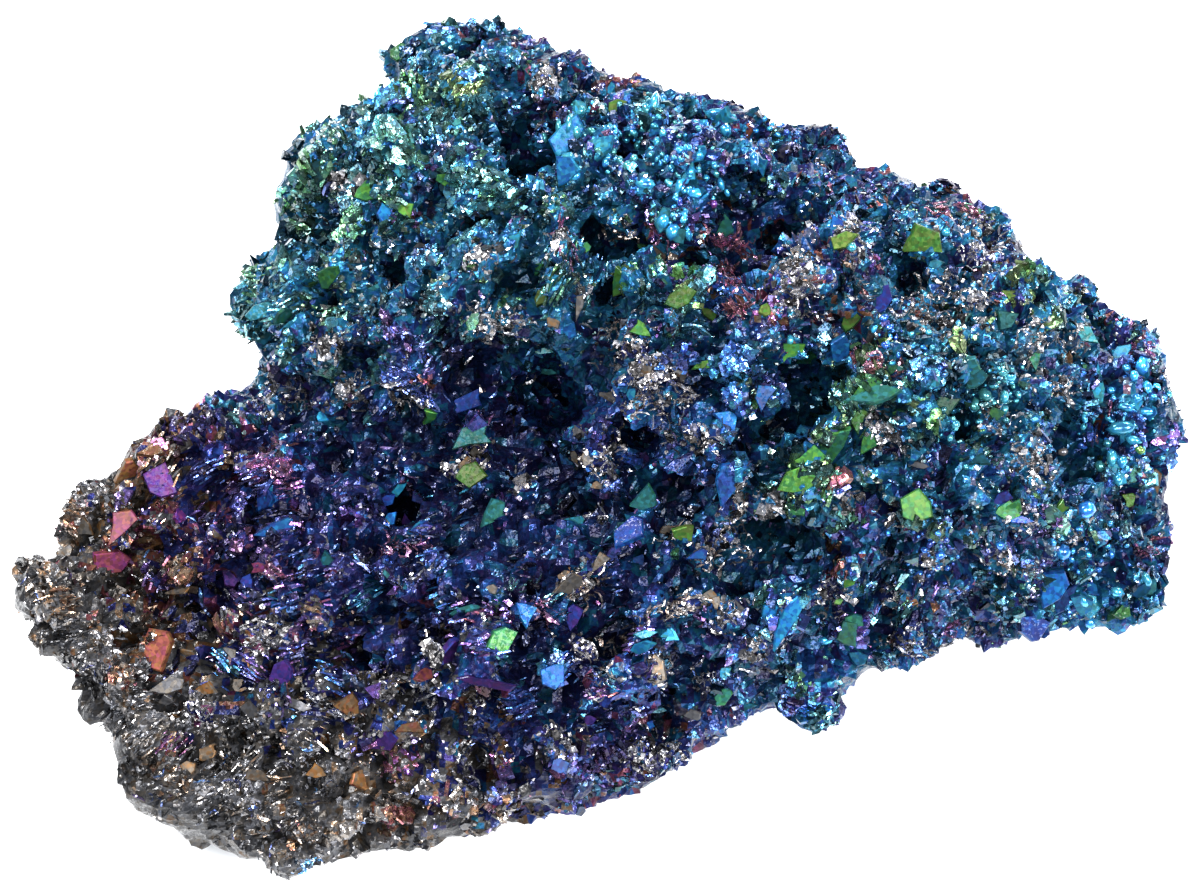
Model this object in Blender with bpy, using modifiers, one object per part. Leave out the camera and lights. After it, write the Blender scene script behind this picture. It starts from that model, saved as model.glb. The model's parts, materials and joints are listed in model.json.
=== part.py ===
"""Carborundum cluster: one palm-sized mass of silicon carbide, grown as a single solid.

Rounded lobes of crystal crowd together on a thick crust, with dark crevices and pits between
them, and flat six-sided tablets stand out of the lobes. The underside is broken rough, and is
flat where the mass rests.

Metres, +Z up. The origin is on the table, under the middle of the bounding box. The display
face looks forwards (-Y) and up. Lobes, pits and tablets are laid out on it in millimetres, as
(across, up), the way a viewer sees them along the sight line, and each has its own height
above the table.
"""

import math
import random

import bmesh
import bpy
from mathutils import Matrix, Vector, noise
from mathutils.bvhtree import BVHTree

MM = 0.001

# Driving dimensions
NAME = "carborundum_mass"
SIGHT_ELEVATION = math.radians(60)
SIGHT_DISTANCE = 340 * MM
SIGHT_TARGET = Vector((0, 0, 16)) * MM
VOXEL = 0.75 * MM
CRUST_TRIANGLES = 3000
SEED = 11

# The middle of the finished mass's box, as laid out; the mass is moved so that it is the origin
BOX_MIDDLE = Vector((0.174, 1.753, 0)) * MM

# A lobe is some blocks grown through one another, each off its middle by a share of its radius,
# on stems that carry it: (how far down, in its radii, and how fat)
BLOCKS_IN_A_LOBE = 3
BLOCK_OFFSET = 0.28
FACE_STEMS = ((1.2, 0.95), (2.6, 1.2))
# Rim lobes lean inwards instead: (share of the way out, millimetres down, how fat)
RIM_STEMS = ((0.93, 1.5, 1.2), (0.84, 3.5, 1.7))
LEDGE_SINK = 1.5

# Crags over the whole crust: (size of a crag, how far it pushes the surface), in millimetres
CRAGS = ((7.0, 1.1), (3.2, 0.7))
UNDERSIDE_CRAG = (9.0, 2.2)

# Small tablets scattered in parallel groups over the display face, and singly elsewhere
GROUPS_IN_FRONT = 43
TABLETS_IN_A_GROUP = 3
GROUP_SPREAD = 2.6 * MM
SINGLES_BEHIND = 18
FRONT_LENGTHS = (2.4, 4.8)
BEHIND_LENGTHS = (2.4, 4.2)
LOWEST_TABLET = 3 * MM

# The crust under the lobes: (across, up, height of the middle), (radii along X, Y and Z)
CRUST = (
    ((4, -1, 10), (33, 19, 11.2)),
    ((-24, -13, 6), (16, 12, 7.2)),
    ((-10, 17, 13), (12, 10, 12)),
    ((14, 9, 13), (20, 13, 12.4)),
    ((30, 0, 9.5), (11, 12, 10.2)),
    ((-6, -15, 7), (22, 9, 8.4)),
)

# Lobes round the rim: (across, up, radius)
RIM_LOBES = (
    (-10.6, 30, 2.5), (-7.6, 29.6, 2.4), (-5.8, 28.3, 2), (-3.5, 27.6, 1.8), (-2, 27.3, 1.6),
    (0.2, 26.8, 1.9), (2.6, 26.5, 2), (5, 25.4, 1.9), (7.2, 24.4, 1.9), (10.5, 23.4, 1.9),
    (14, 23, 1.9), (16.4, 22.3, 2), (20, 19.3, 1.8), (21.8, 17.8, 1.5), (25.3, 15.4, 1.7),
    (28.2, 16.3, 1.7), (31.6, 11.8, 2.1), (35.4, 11, 2.1), (36.8, 11, 1.7), (40, 8, 1.9),
    (42, 6.2, 1.2), (41, 3.7, 1.8), (41.2, 1.2, 2), (42.2, -1, 1.8), (40.8, -3.6, 2.1),
    (42, -5.2, 1.5), (40.4, -7.5, 2), (40.8, -10, 1.7), (39.8, -11, 1.8), (40.6, -11.6, 1.4),
    (38, -11.6, 1.4), (32.6, -12.8, 2.1), (29, -11.4, 1.6), (25.5, -13.7, 1.9), (22.7, -16, 2),
    (20, -16.2, 1.6), (16, -18.6, 2.5), (10.6, -16.8, 1.8), (8, -19.4, 2.1), (5.4, -22.6, 2),
    (3, -22.7, 2.1), (-0.5, -23.4, 2.1), (-3.5, -25.2, 2.5), (-7.5, -26.6, 2.5),
    (-11, -26.2, 2.8), (-15, -27.2, 3), (-19, -28, 2.9), (-22.5, -29.6, 2.7), (-26, -27.9, 2.8),
    (-30.5, -26.3, 2.9), (-33.8, -26, 2.3), (-33.8, -22.5, 2.8), (-35.9, -18.4, 2.3),
    (-38.6, -14.8, 2.4), (-41.6, -11.9, 2.5), (-40.4, -9.3, 1.9), (-39.2, -5.2, 2.1),
    (-36.6, -4.7, 1.8), (-33.6, -1.6, 1.9), (-32, -0.2, 2), (-28.8, 2.2, 2), (-26, 1.6, 2),
    (-23.6, 4.9, 1.7), (-25.4, 9.6, 2.2), (-26, 12.3, 2.1), (-22.8, 13, 2), (-21.6, 16.6, 2),
    (-22.2, 19.2, 2.1), (-21.8, 22, 2), (-19.2, 23.2, 2.2), (-16.6, 24, 2.2), (-13.6, 26, 2.2),
    (-12.4, 28.5, 2.1),
)
RIM_HEIGHT = 14.5
RIM_SLOPE = 0.22

# Lobes on the display face: (across, up, height of the middle, radius)
FACE_LOBES = (
    # upper left
    (-11, 26, 27, 4), (-14, 22, 27, 3.8), (-10, 21, 29, 3.6), (-19, 20.5, 23, 3.2),
    (-6, 26, 26, 3), (-3, 23.5, 26, 3), (-1.5, 20.5, 28, 2.8), (-4.5, 17.5, 28, 2.6),
    (-16, 17, 26, 3), (-12, 13, 27, 2.8), (-9, 13, 29, 3), (-7.5, 9.5, 27, 2.8),
    (-3, 13, 30, 2.6), (-2.5, 9.5, 29, 2.4),
    # left arm
    (-22.5, 11.5, 20, 3.6), (-19, 13, 22, 3), (-20, 7, 20, 3.4), (-23, 5.5, 16, 2.4),
    (-17, 3.5, 18, 2.6), (-13.5, 8.5, 24, 3.4),
    # upper edge
    (3.5, 23.5, 25, 3), (6.5, 20, 28, 3.2), (3, 18.5, 29, 2.6), (10.5, 21, 26, 3),
    (14, 19, 25, 2.8), (17, 18.5, 24, 2.4), (6.5, 16, 29, 2.6),
    # middle
    (3, 11.5, 29, 3), (6.5, 11, 30, 2.8), (2, 7, 27, 2.4), (5, 5, 28, 3.2), (7.5, 1, 26, 2.8),
    (10.5, 5, 29, 3.2), (9, 8.5, 29, 2.2), (12, 10, 30, 2.8), (10.5, -2.5, 24, 3),
    (0, -0.5, 22, 2.6), (1.5, -4, 20, 3.2), (3, -7, 19, 3), (6.5, -7.5, 20, 2.6),
    (-9, 0.5, 18, 2.8), (-9.5, -3, 17, 2.6), (-4.5, -3.5, 17, 2.8),
    # right
    (16.5, 12.5, 30, 3.4), (19, 15.5, 28, 2.6), (20.5, 11.5, 28, 2.4), (24.5, 14.8, 25, 2.2),
    (24.5, 11, 24, 2.4), (27.6, 14.2, 23, 2.2), (28.5, 11, 25, 2.6), (18, 8, 29, 2.8),
    (25, 5.5, 28, 3.2), (28.5, 6.5, 27, 3), (21, 4, 28, 2.8), (19, 1, 27, 2.8), (24, 2, 27, 3),
    (31.5, 8.5, 24, 2.8), (34.5, 8.5, 21, 2.6), (33, 4, 23, 2.8), (36.5, 5, 19, 2.4),
    (40, 3.5, 16, 3), (39, -1, 16, 3), (32, -1, 23, 3), (29, 1, 25, 2.4), (28.5, -2.5, 24, 2.8),
    (33, -5, 21, 2.8), (16.5, -2.5, 26, 3.2), (21, -2, 25, 2.6), (24, -5, 24, 3),
    (20, -7, 21, 2.8), (27, -7.6, 20, 2.6), (31, -9.5, 17, 2.8), (36, -6.5, 17, 2.8),
    (36, -8.8, 13, 2.2), (39, -7.8, 14, 2.4), (24, -11, 17, 2.5),
    # lower left
    (-28, -0.5, 14, 3.2), (-24.5, -2.5, 15, 2.8), (-33.2, -4, 12, 2.6), (-36, -6.5, 10, 2.6),
    (-33, -8.5, 11, 2.8), (-31, -10, 12, 2.4), (-27, -8.5, 14, 3), (-23.5, -8.5, 16, 3),
    (-19, -5, 17, 3.2), (-19, -9.5, 17, 3.2), (-21, -13, 15, 3), (-26, -14.5, 12, 3),
    (-33, -14.5, 9, 3), (-37, -13, 8, 3), (-13.5, -11.5, 17, 3.4), (-9, -12.5, 18, 3.4),
    (-9, -17, 16, 3.4), (-13, -15.5, 15, 3),
    # lower edge
    (-4.5, -11.5, 18, 2.8), (-1, -9.5, 19, 2.8), (-3, -15.5, 16, 2.6), (4, -13, 17, 3),
    (3, -17, 15, 3), (7.5, -13, 17, 2.8), (10, -14.5, 16, 2.8), (14, -11.5, 18, 2.8),
    (17, -9.5, 19, 2.6), (17.6, -13, 15, 2.4), (7.5, -17.5, 12, 2.6), (-19, -19, 12, 3),
    (-23, -20.5, 10, 3.2), (-15.5, -20.5, 12, 3), (-28, -20, 9, 3.2), (-31.5, -20.5, 8, 3),
    (-20, -24.5, 9, 3), (-12, -22, 11, 3), (-7, -21.5, 12, 3), (-2, -20.7, 11.5, 2.6),
    (1.5, -20.4, 10, 2.4), (-26, -25, 8, 3),
)

# Pits between the lobes: (across, up, radius, height of the bottom). They open above them all
ABOVE_ALL = 44
PITS = (
    (-3.5, 4, 3.2, 8), (-14.5, -5, 2.4, 8), (-20.5, -1, 2, 9), (3, 1, 2, 12), (6.5, -3.5, 1.8, 12),
    (-15.5, 12.5, 1.5, 15), (-6.5, 13, 1.3, 16), (0.4, 11.5, 1.3, 16), (-5.5, 21, 1.6, 18),
    (13, 15.5, 2.2, 17), (23.5, 12.5, 1.8, 16), (27, 1.5, 1.7, 17), (35, 0.5, 1.7, 13),
    (16.8, 5.2, 1.4, 18), (-2, -4, 1.5, 10), (-17, -14.5, 1.6, 7), (1, -14.5, 1.5, 8),
    (-9.5, -23.5, 1.5, 5), (14.5, -6.5, 1.7, 14), (13.5, 1.5, 1.5, 17),
)

# Long ledges, laminae seen edge on: (across, up, height), (length, breadth, thickness),
# and the rise of the length from level, in degrees, seen from the front
LEDGES = (
    ((-12, -6, 19), (15, 3, 1.6), 9), ((-8, -8.5, 19), (17, 3, 1.6), 8),
    ((-14, -10, 18), (13, 3, 1.6), 10), ((-3, -5.5, 19.5), (9, 3, 1.5), 12),
    ((-24, -5.5, 17), (12, 3.5, 1.6), 24), ((-29, -7, 14.5), (10, 3.5, 1.6), 30),
    ((-18, 7, 23), (11, 3.5, 1.8), 28), ((-21, 9, 22), (9, 3.5, 1.6), 30),
    ((-16, 10, 25), (9, 3, 1.5), 32), ((8, 10.5, 32), (7, 2.6, 1.5), -18),
    ((13, 11.5, 32), (7, 2.6, 1.5), 14), ((20, 9.8, 30), (9, 3, 1.8), 8),
    ((-22, -18, 14), (11, 3, 1.6), -24), ((-27, -15.5, 13.5), (10, 3, 1.6), -26),
    ((-14, -19, 15), (9, 3, 1.6), -20), ((25, -7, 23.5), (8, 2.6, 1.6), 20),
    ((29, -4.5, 25), (7, 2.6, 1.6), 24), ((33, -9.5, 18.5), (8, 2.6, 1.6), 12),
)

# Tablets that stand out on the display face: (across, up), (length, breadth, thickness),
# the way the tablet faces as (right, away, up), and the turn of its length in degrees
TABLETS = (
    ((24.5, 15.5), (3.6, 3.4, 2.4), (0.1, -0.5, 1), 35),
    ((10, -2.5), (4.4, 2.6, 1.6), (-0.3, -0.7, 0.8), 65),
    ((14, -13), (5.2, 2.2, 1.4), (0.2, -0.8, 0.7), 70),
    ((-8.5, -14.5), (4.6, 3.6, 2), (0.3, -0.6, 1), 20),
    ((-9, -17.5), (5.4, 3.2, 2.4), (0.1, -1, 0.4), 0),
    ((-17.5, 19), (2.6, 2.2, 1.4), (-0.3, -0.4, 1), 20),
    ((-14.5, 17), (2.6, 1.8, 2.4), (0.4, -0.6, 0.8), 80),
    ((-33.5, -3), (4, 3.4, 1.8), (-0.2, -0.4, 1), 40),
    ((-33, -14.5), (4.6, 2.4, 1.6), (0, -0.7, 0.8), 110),
    ((-30.5, -10), (3, 2.4, 1.8), (-0.2, -0.8, 0.7), 10),
    ((-31.5, -17.5), (4.8, 1.8, 1), (0, -0.5, 1), 20),
    ((-36.5, -6.5), (3.6, 3, 1.6), (-0.3, -0.3, 1), 100),
    ((16.5, -2.5), (4.8, 3.6, 2.2), (-0.2, -0.6, 0.9), 15),
    ((24, -4.5), (3, 2.6, 1.6), (0, -0.6, 0.9), 60),
    ((18.5, -14), (3, 2.4, 1.6), (0, -0.8, 0.6), 0),
    ((35.5, -12), (3, 2.2, 2), (0.2, -0.7, 0.7), 45),
    ((36.5, -10), (3, 2, 1.6), (0.1, -0.9, 0.5), 80),
    ((41, -12.5), (5.6, 2.2, 1.4), (0.2, -0.6, 0.8), 10),
    ((-3, 12), (5.6, 2.6, 2.6), (-0.2, -0.9, 0.5), 85),
    ((36, 4), (6.4, 2.2, 2.2), (0.3, -0.8, 0.5), 85),
    ((-9, 1.5), (3, 2.6, 1.8), (0.3, -0.6, 0.9), 30),
    ((3, -5.5), (4.6, 2, 1.6), (0.2, -0.6, 0.9), 50),
    ((-3.5, -17), (2.4, 2, 1.6), (0, -0.7, 0.8), 75),
    ((-6, -12.5), (2.4, 1.8, 1.6), (0.2, -0.8, 0.7), 100),
    ((-2, -24), (2.6, 2.4, 1.6), (0, -0.9, 0.5), 60),
    ((-20.5, 13), (3.4, 2.2, 1.6), (-0.3, -0.5, 0.9), 60),
    ((-25, 10), (3.6, 1.8, 1.4), (-0.5, -0.5, 0.8), 15),
    ((11, 24.4), (4, 2, 1.6), (0.2, -0.2, 1), 0),
    ((9.5, 23.6), (3, 2, 1.8), (0, -0.6, 0.8), 15),
    ((-1, -10), (4.6, 1.6, 1.4), (0.1, -0.6, 0.9), 35),
    ((-12, -13), (5, 2.4, 1), (0, -0.9, 0.5), 15),
    ((21, 4.5), (4, 2.4, 1.8), (-0.2, -0.5, 0.9), 30),
    ((5, 10), (2.8, 2, 1.8), (0, -0.6, 0.8), 30),
    ((4.5, -23.2), (3, 2.2, 1.8), (0.2, -0.8, 0.5), 40),
    ((-22.5, -30), (3.4, 2.6, 1.6), (0, -0.8, 0.6), 30),
)


def clear_scene():
    for item in list(bpy.data.objects):
        bpy.data.objects.remove(item, do_unlink=True)


def seen_at(across, up, height):
    """The point at this height above the table that shows at (across, up); all in millimetres."""
    toward_eye = Vector((0, -math.cos(SIGHT_ELEVATION), math.sin(SIGHT_ELEVATION)))
    face_up = Vector((0, math.sin(SIGHT_ELEVATION), math.cos(SIGHT_ELEVATION)))
    eye = SIGHT_TARGET + toward_eye * SIGHT_DISTANCE
    on_face = SIGHT_TARGET + Vector((across * MM, 0, 0)) + face_up * up * MM
    share = (eye.z - height * MM) / (eye.z - on_face.z)
    return eye.lerp(on_face, share)


def sight_line(across, up):
    """The eye, and the direction in which (across, up) is seen from it."""
    near = seen_at(across, up, ABOVE_ALL)
    return near, (seen_at(across, up, 0) - near).normalized()


def add_ball(bm, middle, radii, facets=2):
    made = bmesh.ops.create_icosphere(bm, subdivisions=facets, radius=1)
    for vertex in made["verts"]:
        vertex.co = Vector(c * r for c, r in zip(vertex.co, radii)) + middle


def add_block(bm, middle, size, facing, turn=0.0, taper=1.0):
    """A six-sided block, (length, breadth, thickness), whose flat top faces the way given."""
    placed = (
        Matrix.Translation(middle)
        @ facing.to_track_quat("Z", "Y").to_matrix().to_4x4()
        @ Matrix.Rotation(turn, 4, "Z")
        @ Matrix.Diagonal((*size, 1))
    )
    bmesh.ops.create_cone(
        bm, cap_ends=True, segments=6, radius1=0.5, radius2=0.5 * taper, depth=1, matrix=placed,
    )


def any_way(rng):
    return Vector(rng.gauss(0, 1) for _ in range(3)).normalized()


def add_lobe(bm, middle, radius, rng):
    """Blocks grown through one another, so that the lobe has flat faces and ledges."""
    for _ in range(BLOCKS_IN_A_LOBE):
        size = [2 * radius * rng.uniform(0.85, 1.15) for _ in range(2)]
        size.append(radius * rng.uniform(1.0, 1.6))
        offset = any_way(rng) * BLOCK_OFFSET * radius
        add_block(bm, middle + offset, size, any_way(rng), rng.uniform(0, math.pi))


def new_object(name, bm, collection):
    mesh = bpy.data.meshes.new(name)
    bm.to_mesh(mesh)
    bm.free()
    made = bpy.data.objects.new(name, mesh)
    collection.objects.link(made)
    return made


def silicon_carbide():
    """Dark metallic blue-black, as the crystals look away from their bright faces."""
    material = bpy.data.materials.new("silicon_carbide")
    material.use_nodes = True
    shader = material.node_tree.nodes["Principled BSDF"]
    shader.inputs["Base Color"].default_value = (0.06, 0.14, 0.22, 1)
    shader.inputs["Metallic"].default_value = 0.85
    shader.inputs["Roughness"].default_value = 0.28
    return material


def lobed_crust(collection, rng):
    """The crust, lobes and ledges as overlapping solids that a remesh turns into one skin."""
    bm = bmesh.new()
    for (across, up, height), radii in CRUST:
        add_ball(bm, seen_at(across, up, height), [r * MM for r in radii], facets=4)
    for across, up, radius in RIM_LOBES:
        height = RIM_HEIGHT + RIM_SLOPE * up
        add_lobe(bm, seen_at(across, up, height), radius * MM, rng)
        for inwards, drop, swell in RIM_STEMS:
            stem = seen_at(across * inwards, up * inwards, height - drop)
            add_ball(bm, stem, [radius * swell * MM] * 3)
    for across, up, height, radius in FACE_LOBES:
        add_lobe(bm, seen_at(across, up, height), radius * MM, rng)
        for drop, swell in FACE_STEMS:
            root = seen_at(across, up, height) - Vector((0, 0, drop * radius * MM))
            if root.z > radius * MM:
                add_ball(bm, root, [radius * swell * MM] * 3)
    for (across, up, height), (length, breadth, thickness), rise in LEDGES:
        size = (length * MM, breadth * MM, thickness * MM)
        facing = Vector((-math.sin(math.radians(rise)), -0.35, math.cos(math.radians(rise))))
        add_block(bm, seen_at(across, up, height - LEDGE_SINK), size, facing.normalized())
    return new_object(NAME, bm, collection)


def bake(mass):
    """Give the mass its evaluated mesh, and clear the modifiers that made it."""
    graph = bpy.context.evaluated_depsgraph_get()
    graph.update()
    mesh = bpy.data.meshes.new_from_object(mass.evaluated_get(graph))
    mass.modifiers.clear()
    mass.data = mesh


def keep_outer_skin(mass):
    """Leave the one outer skin, without the bubbles closed in between the blocks."""
    bm = bmesh.new()
    bm.from_mesh(mass.data)
    waiting = set(bm.verts)
    pieces = []
    while waiting:
        piece = set()
        edge_of_piece = [waiting.pop()]
        while edge_of_piece:
            vertex = edge_of_piece.pop()
            piece.add(vertex)
            for edge in vertex.link_edges:
                other = edge.other_vert(vertex)
                if other in waiting:
                    waiting.discard(other)
                    edge_of_piece.append(other)
        pieces.append(piece)
    pieces.sort(key=len)
    for piece in pieces[:-1]:
        bmesh.ops.delete(bm, geom=list(piece), context="VERTS")
    bm.to_mesh(mass.data)
    bm.free()


def roughen(mass):
    """Push the crust in and out in crags, boldest on the underside."""
    outwards = [vertex.normal.copy() for vertex in mass.data.vertices]
    for vertex, normal in zip(mass.data.vertices, outwards):
        place = vertex.co - SIGHT_TARGET
        push = sum(reach * noise.noise(place / (size * MM)) for size, reach in CRAGS)
        size, reach = UNDERSIDE_CRAG
        if normal.z < 0:
            under = noise.noise(place / (size * MM) + Vector((7, 3, 1)))
            push += reach * under * -normal.z
        vertex.co += normal * push * MM


def pit_cutters(collection, rng):
    """Ragged wells that open along the sight line."""
    for number, (across, up, radius, bottom) in enumerate(PITS, 1):
        top = seen_at(across, up, ABOVE_ALL)
        low = seen_at(across, up, bottom)
        bm = bmesh.new()
        placed = Matrix.Translation((top + low) / 2)
        placed @= (top - low).to_track_quat("Z", "Y").to_matrix().to_4x4()
        bmesh.ops.create_cone(
            bm, cap_ends=True, segments=7, radius1=radius * 0.5 * MM, radius2=radius * 1.6 * MM,
            depth=(top - low).length, matrix=placed,
        )
        for vertex in bm.verts:
            vertex.co += any_way(rng) * radius * 0.3 * MM
        new_object(f"pit_{number}", bm, collection)


def add_tablet(collection, name, place, facing, size, turn, rng):
    bm = bmesh.new()
    add_block(bm, place, size, facing, turn, taper=rng.uniform(0.74, 0.94))
    new_object(name, bm, collection)


def named_tablets(skin, collection, rng):
    for number, (spot, size, facing, turn) in enumerate(TABLETS, 1):
        place, *_ = skin.ray_cast(*sight_line(*spot))
        if place is None:
            continue
        size = [s * MM for s in size]
        facing = Vector(facing).normalized()
        add_tablet(collection, f"tablet_{number}", place, facing, size, math.radians(turn), rng)


def small_size(rng, lengths):
    length = rng.uniform(*lengths) * MM
    return (length, length * rng.uniform(0.6, 1), rng.uniform(1.1, 2.1) * MM)


def scattered_tablets(skin, faces, collection, rng):
    """Parallel groups of small tablets in front, and a few single ones behind and below."""
    front = [face for face in faces if face.normal.z > 0.15]
    behind = [face for face in faces if face.normal.z <= 0.15 and face.center.z > LOWEST_TABLET]
    count = 0
    for seat in rng.choices(front, weights=[face.area for face in front], k=GROUPS_IN_FRONT):
        facing = (seat.normal + any_way(rng) * 0.75).normalized()
        turn = rng.uniform(0, math.pi)
        for _ in range(TABLETS_IN_A_GROUP):
            count += 1
            near = seat.center + any_way(rng) * GROUP_SPREAD
            place, *_ = skin.find_nearest(near)
            size = small_size(rng, FRONT_LENGTHS)
            add_tablet(collection, f"small_tablet_{count}", place, facing, size, turn, rng)
    for seat in rng.choices(behind, weights=[face.area for face in behind], k=SINGLES_BEHIND):
        count += 1
        facing = (seat.normal + any_way(rng) * 0.6).normalized()
        size = small_size(rng, BEHIND_LENGTHS)
        turn = rng.uniform(0, math.pi)
        place = seat.center.copy()
        add_tablet(collection, f"small_tablet_{count}", place, facing, size, turn, rng)


def add_boolean(mass, name, operation, collection):
    cut = mass.modifiers.new(name, "BOOLEAN")
    cut.operation = operation
    cut.operand_type = "COLLECTION"
    cut.collection = collection
    cut.solver = "EXACT"


def add_remesh(mass, name):
    skin = mass.modifiers.new(name, "REMESH")
    skin.mode = "VOXEL"
    skin.voxel_size = VOXEL


def add_facets(mass):
    """Fewer, flatter faces: the number of triangles the crust may keep."""
    mass.data.calc_loop_triangles()
    facets = mass.modifiers.new("facets", "DECIMATE")
    facets.ratio = CRUST_TRIANGLES / len(mass.data.loop_triangles)


def helper_collection(name):
    made = bpy.data.collections.new(name)
    bpy.context.scene.collection.children.link(made)
    return made


def hide_helpers(collection):
    for item in collection.objects:
        item.hide_render = True
        item.display_type = "WIRE"


def table_cutter(collection):
    bm = bmesh.new()
    bmesh.ops.create_cube(bm, size=0.2, matrix=Matrix.Translation((0, 0, -0.1)))
    new_object("under_the_table", bm, collection)


def build():
    rng = random.Random(SEED)
    clear_scene()
    part = helper_collection("carborundum")
    pits = helper_collection("pits")
    tablets = helper_collection("tablets")
    table = helper_collection("table")

    mass = lobed_crust(part, rng)
    add_remesh(mass, "one skin")
    bake(mass)
    keep_outer_skin(mass)
    roughen(mass)
    pit_cutters(pits, rng)
    add_boolean(mass, "pits", "DIFFERENCE", pits)
    add_remesh(mass, "one skin again")
    bake(mass)
    keep_outer_skin(mass)
    add_facets(mass)
    bake(mass)

    skin = BVHTree.FromPolygons(
        [vertex.co for vertex in mass.data.vertices],
        [face.vertices for face in mass.data.polygons],
    )
    named_tablets(skin, tablets, rng)
    scattered_tablets(skin, list(mass.data.polygons), tablets, rng)
    add_boolean(mass, "tablets", "UNION", tablets)
    bake(mass)
    keep_outer_skin(mass)
    mass.data.transform(Matrix.Translation(-BOX_MIDDLE))
    table_cutter(table)
    add_boolean(mass, "flat where it rests", "DIFFERENCE", table)
    mass.data.materials.clear()
    mass.data.materials.append(silicon_carbide())
    for helpers in (pits, tablets, table):
        hide_helpers(helpers)


build()
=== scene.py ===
"""The looks of the carborundum cluster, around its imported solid.

The solid's skin is remeshed finely and broken into little flat faces. Tens of thousands of
silicon carbide plates, blades, blocks and grains, with three to six sides, then grow on it in
patches that share a direction. Large tablets and rounded beads stand where the photograph shows
them, with fine strings of crystal between them. Every crystal carries the thickness of its oxide
film, which gives its colour.
"""

import json
import math

import bpy
import numpy as np
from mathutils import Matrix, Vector
from mathutils.bvhtree import BVHTree
from mathutils.kdtree import KDTree

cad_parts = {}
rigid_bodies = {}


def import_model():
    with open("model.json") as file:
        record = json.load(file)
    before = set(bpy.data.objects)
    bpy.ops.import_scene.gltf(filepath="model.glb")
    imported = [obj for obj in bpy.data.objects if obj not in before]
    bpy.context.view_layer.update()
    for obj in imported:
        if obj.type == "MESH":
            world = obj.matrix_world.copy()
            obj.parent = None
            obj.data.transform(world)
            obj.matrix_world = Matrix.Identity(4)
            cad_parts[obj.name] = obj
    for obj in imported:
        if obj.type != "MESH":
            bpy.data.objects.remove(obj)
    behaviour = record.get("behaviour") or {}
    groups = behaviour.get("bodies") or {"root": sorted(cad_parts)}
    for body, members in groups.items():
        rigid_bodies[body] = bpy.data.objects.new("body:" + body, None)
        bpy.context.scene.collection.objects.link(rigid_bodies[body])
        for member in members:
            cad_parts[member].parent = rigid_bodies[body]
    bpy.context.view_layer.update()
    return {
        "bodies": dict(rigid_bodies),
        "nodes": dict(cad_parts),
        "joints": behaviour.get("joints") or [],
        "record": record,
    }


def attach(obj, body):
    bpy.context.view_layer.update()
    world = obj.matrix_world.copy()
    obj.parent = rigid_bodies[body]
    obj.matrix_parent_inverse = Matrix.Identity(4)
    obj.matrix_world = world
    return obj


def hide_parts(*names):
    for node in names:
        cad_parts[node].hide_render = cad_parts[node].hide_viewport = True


MM = 0.001
NODE = "carborundum_mass"
SEED = 5
# Keeps a division by no length from failing
TINY = 1e-12

# The photograph's frame, and the sight line that it is seen along
PHOTO_SIZE = (1200, 890)
PIXEL = 0.0756 * MM
SIGHT_ELEVATION = math.radians(60)
SIGHT_DISTANCE = 340 * MM
SIGHT_TARGET = np.array((-0.174, -1.753, 16)) * MM

# The skin: fine even quads, moved onto little flat faces that tilt and step. SKIN_SURFACE is
# roughly its area, which sets how many faces there are
SKIN_VOXEL = 0.47 * MM
WELD_REACH = 0.01 * MM
SKIN_SURFACE = 15000 * MM * MM
SKIN_FACE = 0.8 * MM
FACE_CROWDING = 1.6
SKIN_TILT = 0.36
SKIN_STEP = 0.14 * MM
SKIN_REACH = 0.5 * MM
LEAST_LEAN = 0.35
FOOT_HEIGHT = 0.3 * MM

# How many times the skin is averaged, to find the mass under its relief and which way is out
SMOOTHING_ROUNDS = 60
OUTWARD_ROUNDS = 12

# Hollows and clefts of the skin, and how much stiller it is where it is calm or in crevices, where shade is
# painted instead of deep hollows
HOLLOW_GAIN = 0.45
HOLLOW_REACH = 1.4 * MM
CLEFT_DEPTH = 1.5 * MM
CLEFT_SPAN = (0.55, 1.05)
CLEFT_FACING = 1.5
LEAST_CLEFT = 0.2
STILL_SHARE = 0.85
STILL_FACES = 0.9

# How regions of the photograph fade at their edges, and how far the crevices' edges wander:
# in pixels, with each wave's run across and down for a turn of one radian
LEAST_WEIGHT = 1e-9
FADE = 0.9
FADE_POWER = 1.5
WANDER = 3.5
WAVES_ACROSS = ((5, 9), (-11, 4))
WAVES_DOWN = ((-8, 6), (4, 13))

# Knobs where the eye doesn't see: usual reach, its least and most share, tries, spacing, how
# high they start, and how little the skin faces the eye there
KNOB_REACH = 1.9 * MM
KNOB_SHARES = (0.7, 1.4)
KNOB_TRIES = 6000
KNOB_SPACING = 0.75
KNOB_FLOOR = 1 * MM
HIDDEN_FACING = 0.2

# Films: below the first there is hardly a colour, and above the second the crust and dim
# crystals turn navy
GREY_FILM = 0.1
TINTED_FILM = 0.3
NAVY_FILM = (0.48, 0.66)

# The crust's tone, by how much grows on it, by its relief (painted light on heights and painted
# shade in hollows), and where it is grey, in a crevice (painted fill light) or cleft (painted
# shade). Then how much its film differs, and how many faces are frosted, where and how much
CRUST_TONE = (0.04, 0.29)
CRUST_RELIEF = 1.5 * MM
CRUST_LIGHT = (0.4, 1.6)
CRUST_GREY = 0.7
CRUST_CREVICE_FILL = 0.6
CRUST_CLEFT_SHADE = 0.5
CRUST_VARIETY = 0.8
CRUST_FROSTED = 0.4
FROST_LIMIT = 0.4
CRUST_FROST = 0.6

# Bare crust: how calm it has to be, its tone and its share of frosted faces
BARE = 0.3
BARE_TONE = 0.12
BARE_FROSTED = 0.05

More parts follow.
